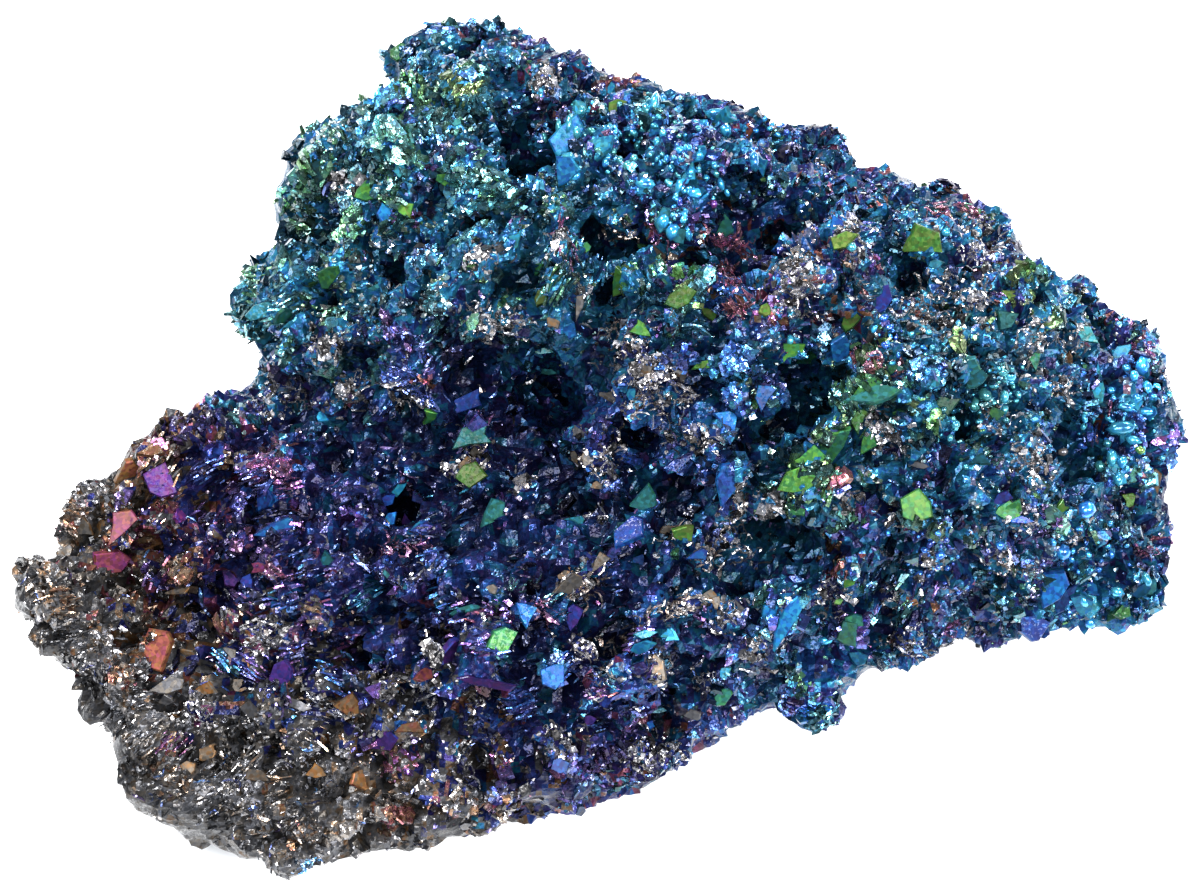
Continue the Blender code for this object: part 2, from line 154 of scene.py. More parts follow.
# Small crystals: how many are sown, in how many patches, how far patches run into each
# other, the triangles of a piece, the gap above the table, the longest, and the share of
# crystals unlike their patch
CRYSTALS = 92000
PATCHES = 2600
PATCH_BLUR = 0.4 * MM
PIECE_TRIANGLES = 185000
TABLE_GAP = 0.02 * MM
LONGEST = 1.7 * MM
STRAYS = 0.15

# Where they are sown: how thinly underneath, how their number follows relief, and how low
UNDERNEATH = -0.25
UNDER_SHARE = 0.3
SOWN_RELIEF = 2.5 * MM
SOWN_SPAN = (0.45, 1.5)
SOWN_FLOOR = 0.7 * MM

# Habits: (name, usual length in mm, spread of lengths, least and most breadth over length,
# thickness over length, looseness of direction, share sunk in)
HABITS = (
    ("plates", 1.00, 0.45, 0.5, 1.0, 0.18, 0.22, 0.10),
    ("blades", 1.10, 0.40, 0.25, 0.5, 0.20, 0.25, 0.10),
    ("blocks", 0.60, 0.35, 0.6, 1.0, 0.60, 0.50, 0.15),
    ("grains", 0.38, 0.40, 0.5, 1.0, 0.60, 2.00, 0.10),
    ("laminae", 1.80, 0.45, 0.25, 0.5, 0.08, 0.14, 0.00),
)
PLATES, BLADES, BLOCKS, GRAINS, LAMINAS = range(5)

# Patches: shares of plates, blades and blocks, of grains at least and of laminae where they show
HABIT_SHARES = (0.45, 0.3, 0.25)
GRAIN_SHARE = 0.12
LAMINA_SHARE = 0.5
RISE_SPREAD = 10

# How a patch faces: lean outward, scatter, and a lamina's lean to the eye with its spread
PATCH_LEAN = (0.1, 1.2)
PATCH_SCATTER = 0.7
LAMINA_LEAN = (0.1, 0.25)

# Small crystals' sizes: longer on heights, shorter where the skin turns from the eye
LENGTH_RELIEF = 4 * MM
LENGTH_SPAN = (0.7, 1.25)
FACING_LENGTH = (0.4, 1.5)
FACING_SPAN = (0.6, 1)
SILVERY_LENGTH = 1.25
RIM_SHRINK = 0.3
RIM_SINK = 0.25
RIM_SLOPE = 3
THICKNESS_SPAN = (0.7, 1.3)

# Their shapes: sides and the share of each, pointed ones and how much, raggedness and taper
SIDES = (3, 4, 5, 6)
SIDE_SHARES = (0.2, 0.35, 0.2, 0.25)
GRAIN_SIDES = (3, 4)
POINTED_SHARE = 0.3
POINTED_SPAN = (0.1, 0.4)
RAGGED_GRAIN = 1.5
RAGGED_PLATE = 1.1
TAPER_SPAN = (0.2, 1.2)

# Their films: how much they differ by patch, by crystal and by knob, and in a silvery druse
PATCH_VARIETY = 0.8
CRYSTAL_VARIETY = 0.4
KNOB_VARIETY = 0.5
DRUSE_EDGE = 0.75
DRUSE_VARIETY = 0.015
SILVER_FILM = 0.3

# Their frost: on grains, on others, and more where cover is full
GRAIN_FROST = (0.4, 1)
PLATE_FROST = (0, 0.2)
COVER_FROST = 0.2
FULL_COVER = 0.6

# Their tones: by relief (painted light on heights, painted shade in hollows), then plain ones by cover and
# chance, grains by chance alone
LIT_RELIEF = 1.4 * MM
LIT_SPAN = (0.3, 1.3)
PLAIN_TONE = (0.1, 0.15)
BRIGHT_TONE = (1.2, 0.6)
BRIGHT_POWER = (4, 2)
GRAIN_TONE = (0.4, 1.1)
GREY_TONE = 0.8
PATCH_TONE = (-0.08, 0.42)
KNOB_TONE = (0, 0.3)

# Silvery grains are half bright worms and half dark gaps, and some laminae are bright dashes.
# Crevices and clefts take tone away as painted shade, and a dim crystal's film turns navy
WORM_SHARE = 0.5
WORM_TONE = (1.0, 1.9)
GAP_TONE = (0.08, 0.35)
DASH_SHARE = 0.35
DASH_GAIN = 1.5
CREVICE_SHADE = 0.6
CLEFT_SHADE = 0.75
DULL_SLOPE = (1.2, 3.5)

# Which of them stay: on bare patches, grains and others, less in the dark, in clefts and so on
BARE_KEPT = 0.07
GRAINS_KEPT = 0.6
PLATES_KEPT = 0.95
DARK_LOSS = 0.85
CLEFT_LOSS = 0.7
CALM_LOSS = 0.97
RIM_LOSS = 0.3

# Crystals' rings, from foot to top: height over thickness, and width
PLAIN_RINGS = ((-0.5, 1.0), (0.5, 0.72))
BEVELLED_RINGS = ((-0.5, 1.0), (0.3, 1.0), (0.5, 0.9))
BEAD_RINGS = ((-0.5, 0.3), (-0.32, 0.76), (0.0, 1.0), (0.3, 0.8), (0.5, 0.3))
TABLET_SIDES = 6
BEAD_SIDES = 8
CORNER_TURN = 0.12
CORNER_REACH = 0.2

# How faces of one crystal differ, the limit of their values, and how far each crystal's
# pattern of flakes is shifted in millimetres
FACE_FILM = 0.02
FACE_TONE = 0.2
VALUE_LIMIT = 2
PATTERN_SHIFT = 50

# The crystals of the tables: thickness over breadth, how far they may lean, raggedness, tones
LARGE_HABIT = (0.3, 0.35, 2.0, (0.11, 0.44))
# The lit tablets' higher tones are painted light
LIT_HABIT = (0.3, 0.25, 1.8, (0.24, 0.46))
BEAD_HABIT = (0.9, 0.1, 0.7, (0.7, 1.3))
LEAST_FACING = 0.1
GROUND_LEAN = 0.35
TABLET_LIFT = 0.1 * MM
TABLET_GROWTH = (1.05, 1.1)
POINTED_TABLETS = 0.5
TABLET_POINT = 0.3
TABLET_TAPER = (0.6, 1.0)
TABLET_FILM = 0.01

# Crowds of beads: share of the count, spread over reach, breadths in pixels, length over breadth
CROWD_SHARE = 0.7
CROWD_SPREAD = 0.6
CROWD_BREADTHS = (2.5, 7)
CROWD_LENGTHS = (1, 1.7)
CROWD_FILM = 0.04

# What a large crystal clears in front of it: its share, and the depths from and to
CLEARED_SHARE = 0.34
CLEARED_DEPTHS = (-0.5 * MM, 4 * MM)

# Fine strings of crystal over the skin
STRINGS = 4300
STRING_POINTS = 6
STRING_STEP = 0.26 * MM
STRING_RADIUS = 0.075 * MM
STRING_STEPS = (0.5, 1.3)
STRING_RADII = (0.6, 1.5)
STRING_HEIGHT = 1.5
STRING_TIP = 0.35
STRING_BEND = (0.6, 0.3)
STRING_FLOOR = 1.5 * MM
STRING_FROST = 0.15
STRING_TONES = (0.6, 1.2)
STRING_CORNERS = (90, 210, 330)

# Strings on druses, on ridges and elsewhere: spread of rise in degrees, tones and wandering
DRUSE_STRINGS = (35, (0.9, 1.9), 0.9)
RIDGE_STRINGS = (12, (0.7, 1.5), 0.4)
OTHER_STRINGS = (25, (0.3, 1.3), 0.6)
STRINGS_BY_REACH = 0.055
DRUSE_SPREAD = 0.55
OTHER_FILMS = (0.02, 0.03, 0.4, 0.5, 0.56, 0.62)
OTHER_POWER = 1.5

# Each look: how far its flakes and its finest flakes tilt, how much its tone differs, its least
# roughness, how much its film differs, how grey it is all over, how metallic and how glassy
LOOKS = {
    "crust": (0.2, 0.25, 0.35, 0.2, 0.08, 0.06, 0.6, 0.15),
    "small_crystals": (0.12, 0.2, 0.5, 0.14, 0.08, 0.1, 0.85, 0.25),
    "string_crystals": (0.15, 0.15, 0.4, 0.15, 0.05, 0.25, 0.85, 0.5),
    "large_crystals": (0.08, 0.1, 0.35, 0.32, 0.08, 0.0, 0.4, 0.1),
    "bead_crystals": (0.04, 0.05, 0.1, 0.1, 0.04, 0.05, 0.6, 0.5),
}

# What all looks share: cells and noise a millimetre, and colours (sRGB)
FLAKE_CELLS = 3.6
GLITTER_CELLS = 9.0
PATCHY_NOISE = (0.9, 2)
FINE_NOISE = (5.0, 2, 0.6)
FILM_DRIFT = 0.1
FROST_BASE = 0.15
FROST_FLAKES = 0.7
ROUGH_RANGE = 0.2
COAT_ROUGHNESS = 0.06
HAZE_COLOUR = (0.50, 0.54, 0.62)
FROST_COLOUR = (0.68, 0.66, 0.66)
HALF = (0.5, 0.5, 0.5)

# The studio: places and sizes in metres, lights in watts. The front light's place is so many
# times the eye's
FLOOR_REACH = 3.0
FLOOR_COLOURS = ((0.94, 0.94, 0.94), (0.97, 0.97, 0.97))
FLOOR_NOISE = (40, 4)
FLOOR_ROUGHNESS = 0.8
SENSOR_WIDTH = 36
CLIP_START = 0.01
LIGHTS = {
    "key": ((-0.35, 0.25, 0.55), (0.18, 0.18), 12),
    "fill": ((0.45, -0.25, 0.5), (0.2, 0.2), 8),
    "rim": ((0.3, 0.5, 0.35), (0.16, 0.1), 3.5),
}
FRONT_LIGHT = (1.3, (0.2, 0.2), 2.5)
SKY_COLOUR = (0.68, 0.82, 1.0, 1)
SKY_STRENGTH = 0.5

# The film's thickness, from 0 to 1, and the colour of the light that it leaves (sRGB)
FILM_COLOURS = (
    (0.00, (0.47, 0.47, 0.49)),
    (0.07, (0.54, 0.50, 0.45)),
    (0.14, (0.62, 0.44, 0.24)),
    (0.21, (0.61, 0.33, 0.29)),
    (0.29, (0.55, 0.24, 0.41)),
    (0.38, (0.39, 0.20, 0.54)),
    (0.47, (0.19, 0.19, 0.50)),
    (0.55, (0.12, 0.28, 0.64)),
    (0.62, (0.12, 0.45, 0.76)),
    (0.68, (0.18, 0.60, 0.76)),
    (0.73, (0.22, 0.55, 0.60)),
    (0.80, (0.19, 0.46, 0.43)),
    (0.88, (0.22, 0.50, 0.28)),
    (0.95, (0.32, 0.54, 0.20)),
    (1.00, (0.42, 0.50, 0.24)),
)

# Where the film and the habit change, in the photograph's pixels:
# (centre), reach, film, how much it varies, share of frosted grains, cover, size
ZONES = (
    ((60, 640), 60, 0.01, 0.03, 0.25, 0.9, 0.6), ((120, 740), 60, 0.01, 0.03, 0.3, 0.9, 0.55),
    ((190, 810), 70, 0.01, 0.03, 0.3, 0.9, 0.55), ((300, 850), 50, 0.02, 0.06, 0.35, 0.9, 0.55),
    ((270, 740), 60, 0.02, 0.05, 0.4, 0.9, 0.6), ((80, 490), 35, 0.04, 0.05, 0.4, 0.9, 0.7),
    ((135, 545), 40, 0.22, 0.1, 0.15, 0.95, 0.9), ((90, 590), 35, 0.05, 0.05, 0.35, 0.9, 0.6),
    ((165, 640), 40, 0.12, 0.08, 0.3, 0.8, 0.8), ((150, 450), 35, 0.13, 0.08, 0.25, 0.9, 0.8),
    ((190, 490), 40, 0.38, 0.07, 0.2, 0.95, 0.9), ((260, 460), 45, 0.43, 0.08, 0.35, 1, 0.9),
    ((240, 560), 45, 0.41, 0.07, 0.25, 1, 0.95), ((250, 650), 45, 0.36, 0.12, 0.3, 0.95, 0.85),
    ((380, 740), 60, 0.03, 0.08, 0.4, 0.9, 0.7), ((430, 810), 60, 0.03, 0.08, 0.4, 0.9, 0.65),
    ((520, 770), 50, 0.42, 0.14, 0.4, 1, 0.8), ((620, 760), 50, 0.44, 0.14, 0.4, 1, 0.8),
    ((340, 510), 60, 0.48, 0.08, 0.12, 0.45, 0.85), ((360, 640), 60, 0.47, 0.1, 0.15, 0.5, 0.85),
    ((480, 560), 80, 0.515, 0.08, 0.1, 0.4, 0.85), ((500, 660), 60, 0.505, 0.1, 0.25, 0.55, 0.8),
    ((620, 520), 60, 0.57, 0.12, 0.18, 0.45, 0.85), ((640, 650), 50, 0.56, 0.1, 0.35, 0.55, 0.8),
    ((720, 620), 50, 0.6, 0.15, 0.35, 0.6, 0.8), ((440, 420), 60, 0.54, 0.1, 0.2, 0.45, 0.85),
    ((320, 390), 45, 0.6, 0.1, 0.45, 0.8, 0.75), ((250, 305), 40, 0.81, 0.05, 0.12, 1, 0.95),
    ((310, 290), 55, 0.82, 0.07, 0.2, 0.9, 1.1),
    ((330, 170), 60, 0.83, 0.06, 0.15, 1, 1.3), ((450, 60), 60, 0.72, 0.1, 0.2, 1, 1),
    ((450, 160), 60, 0.81, 0.07, 0.15, 1, 1.2), ((420, 240), 50, 0.72, 0.14, 0.55, 0.8, 0.8),
    ((560, 80), 40, 0.5, 0.2, 0.4, 1, 0.8), ((600, 140), 45, 0.68, 0.08, 0.25, 0.8, 0.8),
    ((690, 165), 55, 0.6, 0.14, 0.3, 0.8, 0.7), ((790, 130), 45, 0.6, 0.2, 0.35, 1, 0.75),
    ((560, 270), 45, 0.84, 0.1, 0.35, 0.7, 0.8), ((650, 300), 45, 0.84, 0.12, 0.3, 0.6, 0.85),
    ((720, 265), 35, 0.55, 0.25, 0.25, 0.6, 0.8), ((640, 390), 45, 0.56, 0.08, 0.4, 0.6, 0.75),
    ((740, 400), 45, 0.6, 0.06, 0.25, 0.7, 0.85), ((810, 290), 40, 0.5, 0.35, 0.5, 0.8, 0.7),
    ((920, 240), 40, 0.78, 0.16, 0.35, 0.8, 0.8), ((980, 230), 35, 0.55, 0.25, 0.5, 0.9, 0.7),
    ((860, 180), 40, 0.6, 0.22, 0.45, 0.9, 0.75), ((850, 410), 50, 0.87, 0.05, 0.12, 0.85, 1.35),
    ((810, 490), 40, 0.87, 0.05, 0.12, 0.8, 1.35), ((970, 370), 40, 0.82, 0.1, 0.3, 0.8, 0.75),
    ((1040, 310), 45, 0.74, 0.16, 0.5, 0.9, 0.75), ((1125, 430), 50, 0.66, 0.1, 0.3, 0.8, 0.75),
    ((1130, 340), 35, 0.5, 0.2, 0.4, 1, 0.75), ((1165, 500), 35, 0.48, 0.15, 0.45, 0.9, 0.75),
    ((1010, 470), 55, 0.75, 0.16, 0.4, 0.8, 0.7), ((920, 540), 55, 0.64, 0.2, 0.4, 0.8, 0.7),
    ((1080, 580), 55, 0.68, 0.14, 0.3, 0.8, 0.8), ((960, 610), 45, 0.58, 0.16, 0.4, 0.9, 0.7),
    ((830, 670), 45, 0.58, 0.12, 0.3, 0.9, 0.7), ((850, 570), 45, 0.62, 0.2, 0.35, 0.7, 0.75),
)
# The columns of ZONES after the centre and the reach
FILM, VARIETY, FROSTED, COVER, SCALE = 2, 3, 4, 5, 6

# Silvery druses, all fine frosted grains and strings: (centre), reach, film, rise of the strings
DRUSES = (
    ((790, 272), 32, 0.03, 20), ((852, 238), 20, 0.02, 60), ((985, 245), 26, 0.03, 80),
    ((915, 305), 26, 0.04, 30), ((975, 300), 22, 0.03, 60), ((625, 350), 26, 0.06, 45),
    ((645, 400), 26, 0.07, 30), ((610, 450), 16, 0.06, 30), ((585, 458), 12, 0.08, 60),
    ((1030, 462), 22, 0.03, 45), ((1036, 338), 18, 0.03, 80), ((1062, 388), 14, 0.04, 80),
    ((1033, 372), 14, 0.05, 50), ((884, 436), 20, 0.03, 40), ((945, 325), 14, 0.03, 30),
    ((545, 83), 15, 0.02, 45), ((342, 180), 13, 0.02, 30), ((482, 258), 18, 0.03, 40),
    ((486, 325), 16, 0.02, 30), ((618, 235), 15, 0.08, 60), ((322, 345), 18, 0.04, 20),
    ((350, 392), 20, 0.03, 10), ((274, 408), 16, 0.02, 60), ((474, 456), 13, 0.09, 30),
    ((408, 400), 14, 0.03, 20), ((262, 632), 24, 0.03, -38), ((88, 495), 18, 0.02, 30),
    ((437, 648), 14, 0.03, 15), ((417, 700), 22, 0.03, 20), ((385, 685), 15, 0.04, 20),
    ((727, 620), 15, 0.05, 60), ((690, 600), 14, 0.05, 20), ((585, 650), 14, 0.04, 70),
    ((655, 668), 14, 0.03, 10), ((640, 757), 20, 0.02, 60), ((665, 745), 16, 0.02, 70),
    ((700, 440), 14, 0.06, 50), ((735, 500), 16, 0.06, 50), ((770, 500), 14, 0.04, 60),
    ((575, 585), 18, 0.08, 30), ((670, 530), 9, 0.09, 30), ((705, 555), 14, 0.07, 120),
    ((1000, 560), 14, 0.03, 60), ((930, 560), 12, 0.05, 40), ((905, 640), 16, 0.02, 10),
    ((890, 600), 12, 0.04, 70), ((970, 640), 14, 0.03, 20), ((1075, 540), 12, 0.03, 40),
    ((520, 480), 12, 0.04, 40), ((890, 520), 12, 0.04, 60), ((850, 500), 14, 0.05, 45),
    ((600, 515), 12, 0.03, 60), ((310, 760), 20, 0.02, 20), ((196, 722), 22, 0.01, 25),
    ((240, 790), 20, 0.01, 22), ((100, 640), 18, 0.01, 12), ((310, 872), 14, 0.66, 40),
    ((270, 461), 12, 0.34, 20), ((270, 572), 12, 0.29, 10), ((433, 305), 14, 0.75, 80),
    ((560, 240), 12, 0.05, 80), ((584, 290), 12, 0.02, 82), ((700, 90), 14, 0.03, 20),
    ((770, 110), 14, 0.04, 30), ((860, 150), 14, 0.03, 50), ((652, 372), 20, 0.03, 60),
    ((685, 392), 16, 0.04, 70), ((512, 322), 14, 0.03, 40), ((275, 388), 16, 0.02, 60),
    ((600, 465), 18, 0.04, 50), ((800, 285), 26, 0.03, 20), ((1000, 420), 16, 0.03, 40),
    ((835, 600), 20, 0.03, 40), ((760, 650), 16, 0.03, 30), ((1020, 520), 16, 0.03, 50),
    ((720, 545), 20, 0.04, 60), ((460, 770), 16, 0.03, 20), ((560, 740), 18, 0.03, 40),
    ((455, 470), 12, 0.04, 30), ((580, 430), 9, 0.03, 70), ((665, 430), 14, 0.03, 60),
    ((745, 555), 16, 0.04, 40), ((480, 700), 14, 0.03, 20), ((700, 680), 14, 0.03, 30),
    ((300, 400), 14, 0.03, 60), ((940, 290), 14, 0.03, 70), ((1070, 345), 14, 0.03, 80),
)

# Crevices with painted shade in place of deep hollows, with few crystals in them: (centre), (half breadth,
# half height)
CREVICES = (
    ((560, 392), (62, 40)), ((398, 500), (22, 12)), ((416, 516), (12, 18)), ((330, 463), (38, 26)),
    ((396, 268), (18, 16)), ((468, 285), (24, 20)), ((525, 156), (20, 17)),
    ((508, 248), (13, 26)), ((603, 275), (8, 62)), ((762, 247), (26, 32)),
    ((822, 382), (14, 20)), ((826, 312), (13, 13)), ((900, 292), (20, 20)),
    ((952, 266), (14, 9)), ((998, 346), (12, 16)), ((958, 423), (14, 12)),
    ((1067, 430), (17, 17)), ((1102, 487), (11, 11)), ((630, 432), (22, 14)),
    ((688, 495), (18, 14)), ((209, 594), (11, 17)), ((172, 658), (22, 14)),
    ((96, 608), (10, 16)), ((180, 678), (44, 5)), ((385, 635), (28, 26)),
    ((390, 720), (18, 22)), ((438, 770), (24, 9)), ((640, 692), (46, 11)),
    ((640, 612), (32, 14)), ((700, 590), (22, 18)), ((655, 590), (20, 18)),
    ((860, 545), (22, 16)), ((780, 560), (18, 26)), ((800, 430), (14, 14)),
    ((660, 470), (14, 22)), ((700, 520), (16, 14)), ((550, 540), (36, 30)),
    ((480, 560), (40, 20)), ((330, 590), (26, 14)), ((450, 690), (14, 14)),
    ((590, 480), (16, 22)), ((740, 545), (14, 18)), ((890, 470), (12, 12)),
    ((1060, 590), (12, 16)), ((930, 500), (12, 12)), ((282, 262), (10, 14)),
)

# Knobs that stand out of the mass, with clefts between them: x, y and reach in pixels
KNOBS = (
    (450, 30, 34), (500, 45, 34), (420, 60, 36), (470, 85, 34), (395, 90, 30), (435, 120, 40),
    (380, 140, 34), (340, 145, 40), (300, 175, 36), (345, 190, 34), (400, 175, 40), (455, 165, 36),
    (500, 110, 26), (498, 190, 26), (545, 85, 22), (530, 60, 24), (395, 222, 26), (345, 225, 28),
    (305, 215, 28), (435, 225, 24), (470, 205, 26), (280, 200, 22), (300, 265, 36), (255, 285, 30),
    (345, 270, 36), (385, 245, 22), (245, 320, 30), (290, 315, 34), (340, 315, 34), (370, 290, 28),
    (425, 255, 20), (440, 295, 24), (480, 262, 22), (275, 360, 28), (320, 360, 28), (365, 330, 24),
    (405, 335, 26), (275, 395, 22), (350, 388, 24), (320, 410, 22), (395, 370, 30), (480, 330, 22),
    (512, 315, 24), (525, 340, 20), (555, 245, 20), (552, 285, 24), (560, 320, 22), (515, 225, 16),
    (560, 205, 20), (555, 58, 18), (582, 68, 20), (610, 90, 22), (572, 122, 26), (600, 145, 20),
    (570, 168, 22), (625, 120, 22), (655, 108, 26), (640, 82, 18), (662, 80, 16), (622, 160, 16),
    (650, 145, 18), (642, 185, 18), (680, 155, 22), (700, 125, 22), (728, 122, 24), (702, 192, 18),
    (690, 95, 18), (722, 160, 20), (745, 130, 20), (600, 190, 14), (680, 222, 24), (655, 215, 14),
    (725, 228, 20), (758, 160, 20), (785, 135, 22), (775, 185, 18), (820, 122, 26), (845, 145, 20),
    (815, 165, 20), (845, 178, 20), (880, 165, 20), (878, 195, 20), (905, 185, 16), (770, 222, 14),
    (745, 195, 14), (805, 210, 12), (620, 228, 20), (645, 250, 14), (622, 275, 24), (665, 268, 20),
    (688, 295, 20), (715, 262, 14), (735, 290, 16), (700, 245, 12), (630, 335, 24), (645, 320, 16),
    (675, 315, 18), (650, 370, 26), (685, 360, 20), (708, 365, 16), (700, 335, 12), (735, 330, 16),
    (745, 360, 26), (765, 320, 22), (735, 395, 20), (775, 390, 22), (610, 400, 24), (595, 430, 14),
    (618, 385, 14), (595, 460, 20), (612, 490, 14), (690, 415, 26), (670, 400, 16), (720, 430, 18),
    (745, 415, 14), (790, 272, 34), (820, 280, 22), (850, 235, 26), (870, 255, 20), (838, 222, 16),
    (880, 230, 16), (905, 215, 18), (925, 242, 28), (935, 265, 14), (975, 215, 22), (980, 245, 24),
    (990, 270, 16), (850, 310, 14), (785, 305, 20), (775, 340, 16), (790, 350, 18), (835, 350, 26),
    (870, 360, 20), (895, 345, 14), (880, 320, 18), (915, 310, 24), (935, 325, 16), (970, 305, 22),
    (960, 335, 16), (1000, 305, 16), (985, 325, 14), (1030, 272, 22), (1022, 295, 16), (1060, 285, 18),
    (1090, 285, 20), (1050, 315, 20), (1085, 335, 20), (1035, 340, 20), (1065, 350, 14), (930, 370, 28),
    (970, 370, 24), (1005, 375, 18), (900, 395, 16), (865, 395, 26), (835, 400, 22), (880, 430, 20),
    (830, 430, 20), (905, 430, 18), (925, 415, 26), (1000, 405, 20), (990, 425, 16), (1040, 390, 22),
    (1065, 385, 14), (1035, 415, 18), (1030, 450, 26), (1090, 375, 18), (1088, 410, 18), (1090, 435, 12),
    (1120, 325, 18), (1145, 355, 20), (1120, 360, 18), (1135, 385, 20), (1125, 415, 26), (1160, 400, 20),
    (1165, 430, 20), (1140, 445, 16), (1170, 455, 18), (1115, 470, 24), (1145, 475, 18), (1150, 500, 20),
    (1120, 505, 18), (1175, 500, 14), (1160, 520, 14), (1130, 530, 18), (1085, 510, 16), (1075, 538, 16),
    (1105, 540, 16), (1160, 560, 18), (1140, 580, 20), (1115, 600, 20), (1085, 570, 20), (1082, 605, 20),
    (1095, 630, 16), (1150, 605, 18), (1055, 555, 20), (1060, 520, 18), (1030, 520, 20), (1005, 510, 18),
    (1035, 490, 20), (1005, 470, 20), (1060, 480, 16), (980, 455, 18), (965, 475, 20), (935, 460, 16),
    (915, 450, 14), (915, 510, 26), (945, 530, 20), (980, 500, 18), (975, 540, 18), (1000, 560, 22),
    (1035, 580, 22), (930, 565, 22), (960, 590, 22), (1010, 610, 22), (1040, 625, 22), (1060, 600, 18),
    (985, 620, 18), (905, 600, 20), (940, 625, 20), (910, 640, 22), (870, 620, 20), (860, 590, 20),
    (850, 640, 24), (880, 660, 18), (845, 570, 16), (810, 455, 24), (795, 485, 28), (830, 490, 24),
    (800, 512, 18), (765, 510, 24), (725, 520, 20), (860, 520, 26), (835, 535, 16), (870, 475, 16),
    (890, 495, 14), (735, 480, 28), (715, 455, 14), (765, 450, 14), (700, 480, 12), (700, 535, 16),
    (685, 535, 14), (650, 500, 24), (632, 530, 26), (660, 470, 20), (630, 455, 16), (600, 562, 24),
    (575, 585, 20), (620, 575, 20), (660, 560, 20), (705, 560, 18), (750, 560, 18), (735, 545, 12),
    (725, 615, 26), (690, 600, 16), (655, 595, 12), (790, 615, 32), (770, 600, 16), (760, 640, 16),
    (815, 600, 16), (735, 655, 18), (700, 650, 20), (670, 640, 18), (640, 640, 16), (655, 668, 22),
    (620, 665, 20), (720, 690, 24), (745, 700, 18), (690, 715, 22), (785, 670, 18), (820, 680, 30),
    (815, 715, 28), (845, 700, 20), (855, 665, 20), (790, 700, 20), (585, 645, 16), (570, 615, 22),
    (600, 620, 14), (525, 610, 18), (555, 670, 22), (500, 640, 26), (470, 625, 28), (440, 620, 16),
    (475, 665, 30), (430, 650, 16), (425, 680, 22), (450, 690, 14), (412, 727, 20), (385, 690, 20),
    (350, 705, 18), (380, 740, 24), (345, 745, 18), (590, 700, 22), (620, 715, 24), (650, 710, 20),
    (520, 705, 24), (545, 735, 18), (480, 730, 26), (560, 760, 24), (600, 750, 24), (640, 755, 24),
    (670, 760, 20), (620, 785, 20), (580, 790, 24), (540, 785, 24), (505, 800, 24), (500, 760, 18),
    (450, 750, 18), (460, 800, 26), (430, 790, 22), (430, 830, 24), (480, 830, 18), (400, 770, 22),
    (390, 810, 26), (380, 845, 20), (360, 780, 24), (345, 820, 28), (325, 775, 22), (330, 850, 24),
    (300, 870, 22), (380, 412, 18), (435, 412, 24), (470, 430, 26), (475, 475, 26), (450, 470, 14),
    (410, 465, 20), (380, 460, 14), (430, 380, 14), (490, 385, 14), (365, 485, 22), (345, 495, 18),
    (280, 460, 22), (245, 465, 24), (230, 500, 24), (270, 500, 24), (300, 490, 14), (280, 525, 26),
    (320, 525, 24), (360, 520, 22), (390, 505, 16), (240, 540, 18), (265, 565, 24), (310, 560, 22),
    (345, 565, 24), (385, 565, 22), (435, 560, 18), (405, 590, 18), (470, 560, 16), (500, 510, 20),
    (530, 490, 22), (535, 525, 16), (575, 522, 20), (490, 545, 14), (525, 560, 16), (450, 590, 18),
    (490, 590, 18), (245, 595, 20), (280, 600, 24), (320, 615, 26), (350, 640, 14), (290, 640, 20),
    (255, 635, 24), (225, 620, 16), (320, 680, 24), (285, 675, 22), (250, 665, 20), (355, 670, 20),
    (395, 655, 14), (360, 600, 18), (150, 450, 28), (185, 425, 24), (215, 420, 24), (250, 410, 20),
    (170, 480, 28), (130, 480, 22), (80, 490, 30), (110, 500, 20), (75, 520, 20), (120, 530, 26),
    (150, 520, 18), (180, 515, 22), (210, 530, 14), (100, 560, 26), (140, 560, 18), (175, 570, 24),
    (150, 585, 14), (70, 570, 26), (215, 455, 20), (195, 480, 18), (60, 610, 36), (30, 600, 26),
    (90, 650, 40), (130, 610, 26), (155, 650, 26), (180, 680, 20), (200, 690, 22), (130, 690, 36),
    (70, 680, 30), (210, 720, 36), (160, 735, 40), (260, 710, 36), (240, 750, 40), (120, 760, 36),
    (190, 785, 44), (150, 815, 34), (250, 800, 44), (300, 740, 26), (300, 810, 40), (230, 845, 36),
    (275, 865, 28), (290, 770, 24), (195, 650, 14), (225, 660, 16),
)

# Smooth dull crust with hardly a crystal on it: (centre), (half breadth, half height)
CALM = (
    ((118, 755), (12, 26)), ((140, 800), (24, 26)), ((185, 825), (40, 20)), ((235, 858), (34, 14)),
    ((20, 605), (12, 22)), ((50, 668), (18, 26)), ((88, 712), (14, 20)), ((555, 792), (44, 16)),
    ((240, 706), (26, 10)), ((318, 715), (24, 8)), ((232, 780), (22, 10)), ((452, 830), (16, 12)),
    ((1165, 500), (12, 26)), ((1168, 415), (16, 14)), ((905, 178), (14, 14)), ((868, 672), (16, 12)),
    ((340, 112), (22, 10)), ((288, 165), (12, 26)), ((455, 16), (30, 12)), ((745, 110), (20, 10)),
    ((276, 205), (10, 26)), ((398, 58), (10, 22)), ((414, 34), (14, 12)), ((505, 38), (20, 10)),
    ((548, 56), (20, 10)), ((600, 74), (16, 9)), ((650, 86), (16, 8)), ((835, 150), (16, 9)),
    ((955, 200), (16, 8)), ((1020, 246), (18, 9)), ((1095, 275), (16, 9)), ((250, 250), (16, 9)),
    ((290, 140), (12, 16)), ((232, 290), (9, 20)), ((300, 878), (20, 10)), ((380, 856), (40, 9)),
    ((500, 832), (18, 9)), ((660, 785), (26, 12)), ((125, 812), (14, 16)), ((60, 495), (12, 16)),
    ((8, 600), (10, 16)), ((815, 122), (24, 9)), ((238, 340), (9, 20)), ((125, 450), (16, 12)),
)

